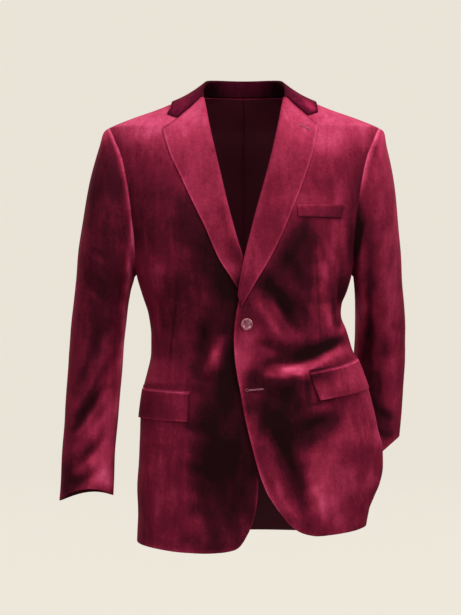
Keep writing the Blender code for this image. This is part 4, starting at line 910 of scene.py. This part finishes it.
def sewSleeve(side):
    form, sleeve = sleevePiece, "sleeve_" + side
    nudge, little = seam / 2 / armholeForm["halfDepth"], 0.02
    for name, first, last, columns, solids in form["pieces"]:
        start, end = armholeForm[first], armholeForm[last]
        if end < start:
            end += armholeForm["points"]
        turns = np.linspace(armTurn(start) + nudge, armTurn(end) - nudge, columns)
        grid = sleeveForm(side, turns)
        roundIt = sleeveForm(side, turns + little) - sleeveForm(side, turns - little)
        normal = unit(np.cross(roundIt, np.gradient(grid, axis=0)))
        # front and back tables of pile patches and painted highlights and shade, blended as the sleeve turns away
        behind = ease(*form["napAndShadeTurn"], normal[..., 1])
        napAndShade = napAndShadeAt(sleeve, grid) * (1 - behind) + napAndShadeAt(sleeve + "_back", grid) * behind
        settled = ease(0, form["settleRows"], np.arange(len(grid)))[:, None]
        lift = unrest(grid[..., 0], grid[..., 2])
        for face, along, way, turned in form["faces"]:
            fold = foldHeight(sleeve + "_" + face, grid[..., along], grid[..., 2])
            lift = lift + fold * ease(*turned, (normal[..., :2] * way).sum(-1))
        grid = grid + normal * (lift * settled)[..., None]
        sewPiece(name + side, grid, normal, side, napAndShade, sewn=["start", "end", "top+"],
                 solids=[solid + side for solid in solids], edgeLight=form["edgeLight"], gain=tiltLight["sleeveGain"])


# Hip pockets and breast welt: angles and heights of four corners on the front.
pocketPiece = dict(
    flaps=dict(  # front top angle z, back top angle z, front low angle z, back low angle z, curl of the corner
        left=(27.6, -462, 74, -440, 30.5, -506, 71.5, -489, 5.0),
        right=(28.3, -493, 82, -489, 28.0, -541, 83, -538, 0.0)),
    welt=(21.2, -183.5, 51.0, -182, 22.2, -204, 49.5, -205.5),
    lie=0.9, stand=1.6, jetRows=[6.0, 4.6, 3.0, 1.4, seam], jetShade=-0.16, weltShade=-0.06,
    flapSpread=((18, 0, 0.02), (34, 0.008, 0.008)), weltSpread=((10, 0.04, 0.04), (30, 0.01, 0.01)),
    # painted highlights and painted shade along the flap, jet and welt edges
    edgeLight=dict(left=dict(top=(2.2, 0.34), start=(1.8, -0.2), foot=(2, 0.06)),
              right=dict(top=(2.2, 0.36), start=(2.6, -0.24), foot=(2.4, 0.16)),
              jet=dict(foot=(1.8, 0.42)), welt=dict(end=(3, 0.2), top=(3, 0.15), foot=(2, -0.2))),
    cut=dict(left=(0.128, 0.053, 0.0059), right=(0.145, 0.052, 0.0068), jet=(0.132, 0.010, 0.0008),
             welt=(0.095, 0.026, 0.0020)))


def cornersGrid(corners, down, across):
    # angles and heights between four corners
    frontTop, backTop, frontLow, backLow = np.reshape(corners[:8], (4, 2, 1, 1))
    angle, z = ((frontTop + (backTop - frontTop) * across) * (1 - down)
                + (frontLow + (backLow - frontLow) * across) * down)
    return np.radians(angle), z


def sewPocket(side):
    form, front, corners = pocketPiece, ["front_" + side], pocketPiece["flaps"][side]
    down, across = [edged(*spread) for spread in form["flapSpread"]]
    down = down[:, None]
    angle, z = cornersGrid(corners, down, across)
    stand = form["lie"] + form["stand"] * down ** 1.5 + corners[-1] * (1 - across) ** 4 * down ** 3
    sewPiece("flap_" + side, frontFace(side, angle, z, stand + cloth), ringNormal(side, angle, z), side,
             edgeLight=form["edgeLight"][side])
    z = z[:1] + np.array(form["jetRows"])[:, None]
    angle = np.repeat(angle[:1], len(z), 0)
    sewPiece("jet_" + side, frontFace(side, angle, z, form["lie"] + cloth / 2), ringNormal(side, angle, z), side,
             shade=form["jetShade"], thick=cloth / 2,
             edgeLight=form["edgeLight"]["jet"])


def sewWelt():
    form = pocketPiece
    down, across = [edged(*spread) for spread in form["weltSpread"]]
    angle, z = cornersGrid(form["welt"], down[:, None], across)
    sewPiece("breast_welt", frontFace("left", angle, z, form["lie"] + cloth), ringNormal("left", angle, z), "left",
             shade=form["weltShade"],
             edgeLight=form["edgeLight"]["welt"])


for side in ("right", "left"):
    for sew in (sewFront, sewSideBody, sewBack, sewLapel, sewSleeve, sewPocket):
        sew(side)
    print("sewn", side)
sewCollar()
sewWelt()


def seatOn(side, ownX, z, out):
    # a seat on the front's face in world x: place, axis out, level and upright directions
    x, z = np.array([ownX]), np.array([z])
    flip = mirrored if side == "right" else np.ones(3)
    axis = flip * ringNormal(side, angleAtX(side, x, z), z)[0]
    level = unit(np.cross([0.0, 0.0, 1.0], axis))
    return frontAt(side, x, z, out)[0] * flip, axis, level, np.cross(axis, level)


def ringFaces(rings, around):
    # quads between rings of points, and a face over each end
    at = np.arange(rings * around).reshape(rings, around)
    after = np.roll(at, -1, axis=1)
    quads = np.stack([at[:-1], after[:-1], after[1:], at[1:]], -1).reshape(-1, 4)
    return quads.tolist() + [at[0, ::-1].tolist(), at[-1].tolist()]


def tube(path, radius, around=8):
    # closed tube along a path
    ahead = unit(np.gradient(path, axis=0))
    first = unit(np.cross(ahead, [0.3, -1.0, 0.2]))     # a way that no path takes
    second = np.cross(ahead, first)
    turns = np.linspace(0, 2 * math.pi, around, endpoint=False)[:, None]
    rings = path[:, None] + radius * (np.cos(turns) * first[:, None] + np.sin(turns) * second[:, None])
    return rings.reshape(-1, 3), ringFaces(len(path), around)


# Buttons: a turned disc with a raised rim, a dished middle and four sewing holes, two bars of thread across them.
buttonPiece = dict(
    spots=dict(  # side, own x, z, thickness
        upper=("left", 4.0, -380.0, 1.0), lower=("right", -14.0, -482.0, 0.8)),
    profile=[(0.0, 8.4), (0.5, 9.4), (1.2, 9.95), (2.0, 10.0), (2.7, 9.7), (3.15, 9.0), (3.3, 8.3), (3.2, 7.6),
             (2.96, 6.8), (2.68, 6.0)],   # height, radius
    dish=dict(height=2.1, curve=0.55 / 9, flat=3, radii=(5.8, 0.25, 22)), around=56,
    holeDepth=1.7, holeSpread=2.0, holeRim=(0.95 * 1.2, 0.95 * 0.75),
    bar=dict(strands=(-0.45, 0.0, 0.45), low=1.6, arch=1.0, steps=13, radius=0.27))


def sewButton(name):
    form, dish, bar, spread = buttonPiece, buttonPiece["dish"], buttonPiece["bar"], buttonPiece["holeSpread"]
    side, ownX, z, thin = form["spots"][name]
    spot, axis, level, upright = seatOn(side, ownX, z, seam)

    def placed(u, v, out):
        return spot + u[..., None] * level + v[..., None] * upright + (out * thin)[..., None] * axis

    rings = form["profile"] + [(dish["height"] + dish["curve"] * max(r - dish["flat"], 0) ** 2, r)
                               for r in np.linspace(*dish["radii"])]
    height, radius = np.array(rings).T[..., None]
    turns = 2 * math.pi * np.arange(form["around"]) / form["around"]
    u, v = radius * np.cos(turns), radius * np.sin(turns)
    sunk = form["holeDepth"] * ease(*form["holeRim"], np.hypot(np.abs(u) - spread, np.abs(v) - spread))
    addPiece("button_" + name + "_resin", "dyed_button", ["button_" + name],
             placed(u, v, height - sunk).reshape(-1, 3), ringFaces(len(rings), form["around"]), buttonResin)
    points, faces = [], []
    steps = np.linspace(-1, 1, bar["steps"])
    arch = bar["low"] + bar["arch"] * (1 - steps ** 2) ** 0.5
    for v in (-spread, spread):
        for strand in bar["strands"]:
            more, quads = tube(placed(steps * spread, np.full(len(steps), v + strand), arch), bar["radius"])
            faces += [[i + len(points) for i in face] for face in quads]
            points += more.tolist()
    addPiece("button_" + name + "_thread", "dyed_button", [], points, faces, holeThread)


for name in buttonPiece["spots"]:
    sewButton(name)

# Worked buttonholes: a bead of thread down each lip, with a round eye at the edge end of the front's.
buttonholes = dict(
    front_left_buttonhole=dict(start=(6.0, -488.6), end=(31.0, -486.6), out=0.35, lip=0.8, eye=2.2, radius=0.62),
    lapel_left_buttonhole=dict(start=(92.0, -50.0), end=(108.5, -58.6), out=3.35, lip=0.4, eye=0.0, radius=0.5))
stitch = dict(steps=30, eyeSteps=16, eyeTurn=0.85 * math.pi, eyeBack=0.8, wobble=0.12, pitch=2.4)


def workButtonhole(name, start, end, out, lip, eye, radius):
    start, end = np.array(start), np.array(end)
    ahead = unit(end - start)
    beside = np.array([-ahead[1], ahead[0]])
    slit = start + (end - start) * np.linspace(0, 1, stitch["steps"])[:, None]
    outline = [*(slit + beside * lip), *(slit[::-1] - beside * lip)]
    if eye:
        for turn in np.linspace(-stitch["eyeTurn"], stitch["eyeTurn"], stitch["eyeSteps"]):
            way = beside * math.sin(turn) - ahead * math.cos(turn)
            outline.append(start + eye * (way - ahead * stitch["eyeBack"]))
    outline = np.array(outline + outline[:1])
    path = frontAt("left", *outline.T, out)
    path[:, 1] -= stitch["wobble"] * np.sin(np.arange(len(path)) * stitch["pitch"])
    addPiece(name, "cotton_velvet", [], *tube(path, radius), holeThread)


for name, hole in buttonholes.items():
    workButtonhole(name, **hole)
print("buttons and buttonholes done")

# Studio: a round pale floor that sweeps up all round, softboxes in front and weaker ones behind.
studio = dict(floorZ=-1050, middle=20, radius=8000, bend=2000, bendSteps=17, wallTop=7000, around=72,
              colour="#eae4d8", shade="#4a4844", glow=0.96, room="#efeae2", roomLight=0.42)
lamps = [  # name, place, aim, width and height in metres, watts, tint
    ("overhead", (0.5, -0.9, 2.1), (0.0, 0.0, -0.2), 2.4, 1.6, 56, "#fffaf4"),
    ("front_left", (-2.0, -3.6, 0.9), (0.0, 0.0, -0.35), 1.6, 2.2, 34, "#ffffff"),
    ("front_right", (2.4, -3.0, 0.9), (0.0, 0.0, -0.35), 1.6, 2.2, 56, "#ffffff"),
    ("back_left", (-2.4, 3.4, 1.1), (0.0, 0.0, -0.35), 1.8, 2.2, 40, "#ffffff"),
    ("back_right", (2.4, 3.4, 1.1), (0.0, 0.0, -0.35), 1.8, 2.2, 40, "#ffffff")]


def addStudio():
    form, bend = studio, studio["bend"]
    bends = np.linspace(0, math.pi / 2, form["bendSteps"])
    r = np.r_[form["middle"], form["radius"] - bend + bend * np.sin(bends), form["radius"]][:, None]
    z = np.r_[form["floorZ"], form["floorZ"] + bend * (1 - np.cos(bends)), form["wallTop"]][:, None]
    turns = 2 * math.pi * np.arange(form["around"]) / form["around"]
    points = np.stack([r * np.cos(turns), r * np.sin(turns), z + 0 * turns], -1).reshape(-1, 3)
    faces = [face[::-1] for face in ringFaces(len(r), form["around"])[:-1]]     # open above, seen from inside
    # Matt painted plaster: an even pale ground without gloss
    plaster = newMaterial("painted_plaster_matt", {
        "Base Color": toLinear(form["shade"]), "Roughness": 1.0, "Specular IOR Level": 0.0,
        "Emission Color": toLinear(form["colour"]), "Emission Strength": form["glow"]})[0]
    sweep = addMesh("sweep", points, faces, plaster)
    sweep.visible_diffuse = sweep.visible_glossy = False      # it is seen, but does not light the cloth


def addLamps():
    for name, place, aim, width, height, watts, tint in lamps:
        lamp = bpy.data.lights.new(name, "AREA")
        lamp.shape = "RECTANGLE"
        lamp.size, lamp.size_y = width, height
        lamp.energy = watts
        lamp.color = toLinear(tint)[:3]
        holder = bpy.data.objects.new(name, lamp)
        holder.location = place
        holder.rotation_euler = (Vector(aim) - Vector(place)).to_track_quat("-Z", "Y").to_euler()
        bpy.context.scene.collection.objects.link(holder)
    world = bpy.data.worlds.new("room")
    world.use_nodes = True
    sky = world.node_tree.nodes["Background"].inputs
    sky["Color"].default_value = toLinear(studio["room"])
    sky["Strength"].default_value = studio["roomLight"]
    bpy.context.scene.world = world


addStudio()
addLamps()

# Camera: level, straight on, 1.7 mm a pixel at the coat's middle
lens = dict(place=(-0.02295, -3.65, -0.35275), sensor=36.0, frameHeight=615 * 0.0017)
camera = bpy.data.objects.new("camera", bpy.data.cameras.new("camera"))
camera.location = lens["place"]
camera.rotation_euler = (math.pi / 2, 0, 0)
camera.data.sensor_fit = "VERTICAL"
camera.data.sensor_height = lens["sensor"]
camera.data.lens = lens["sensor"] * -lens["place"][1] / lens["frameHeight"]
bpy.context.scene.collection.objects.link(camera)
bpy.context.scene.camera = camera
bpy.context.scene.view_settings.view_transform = "Standard"
bpy.context.scene.view_settings.look = "None"

print("scene ready")
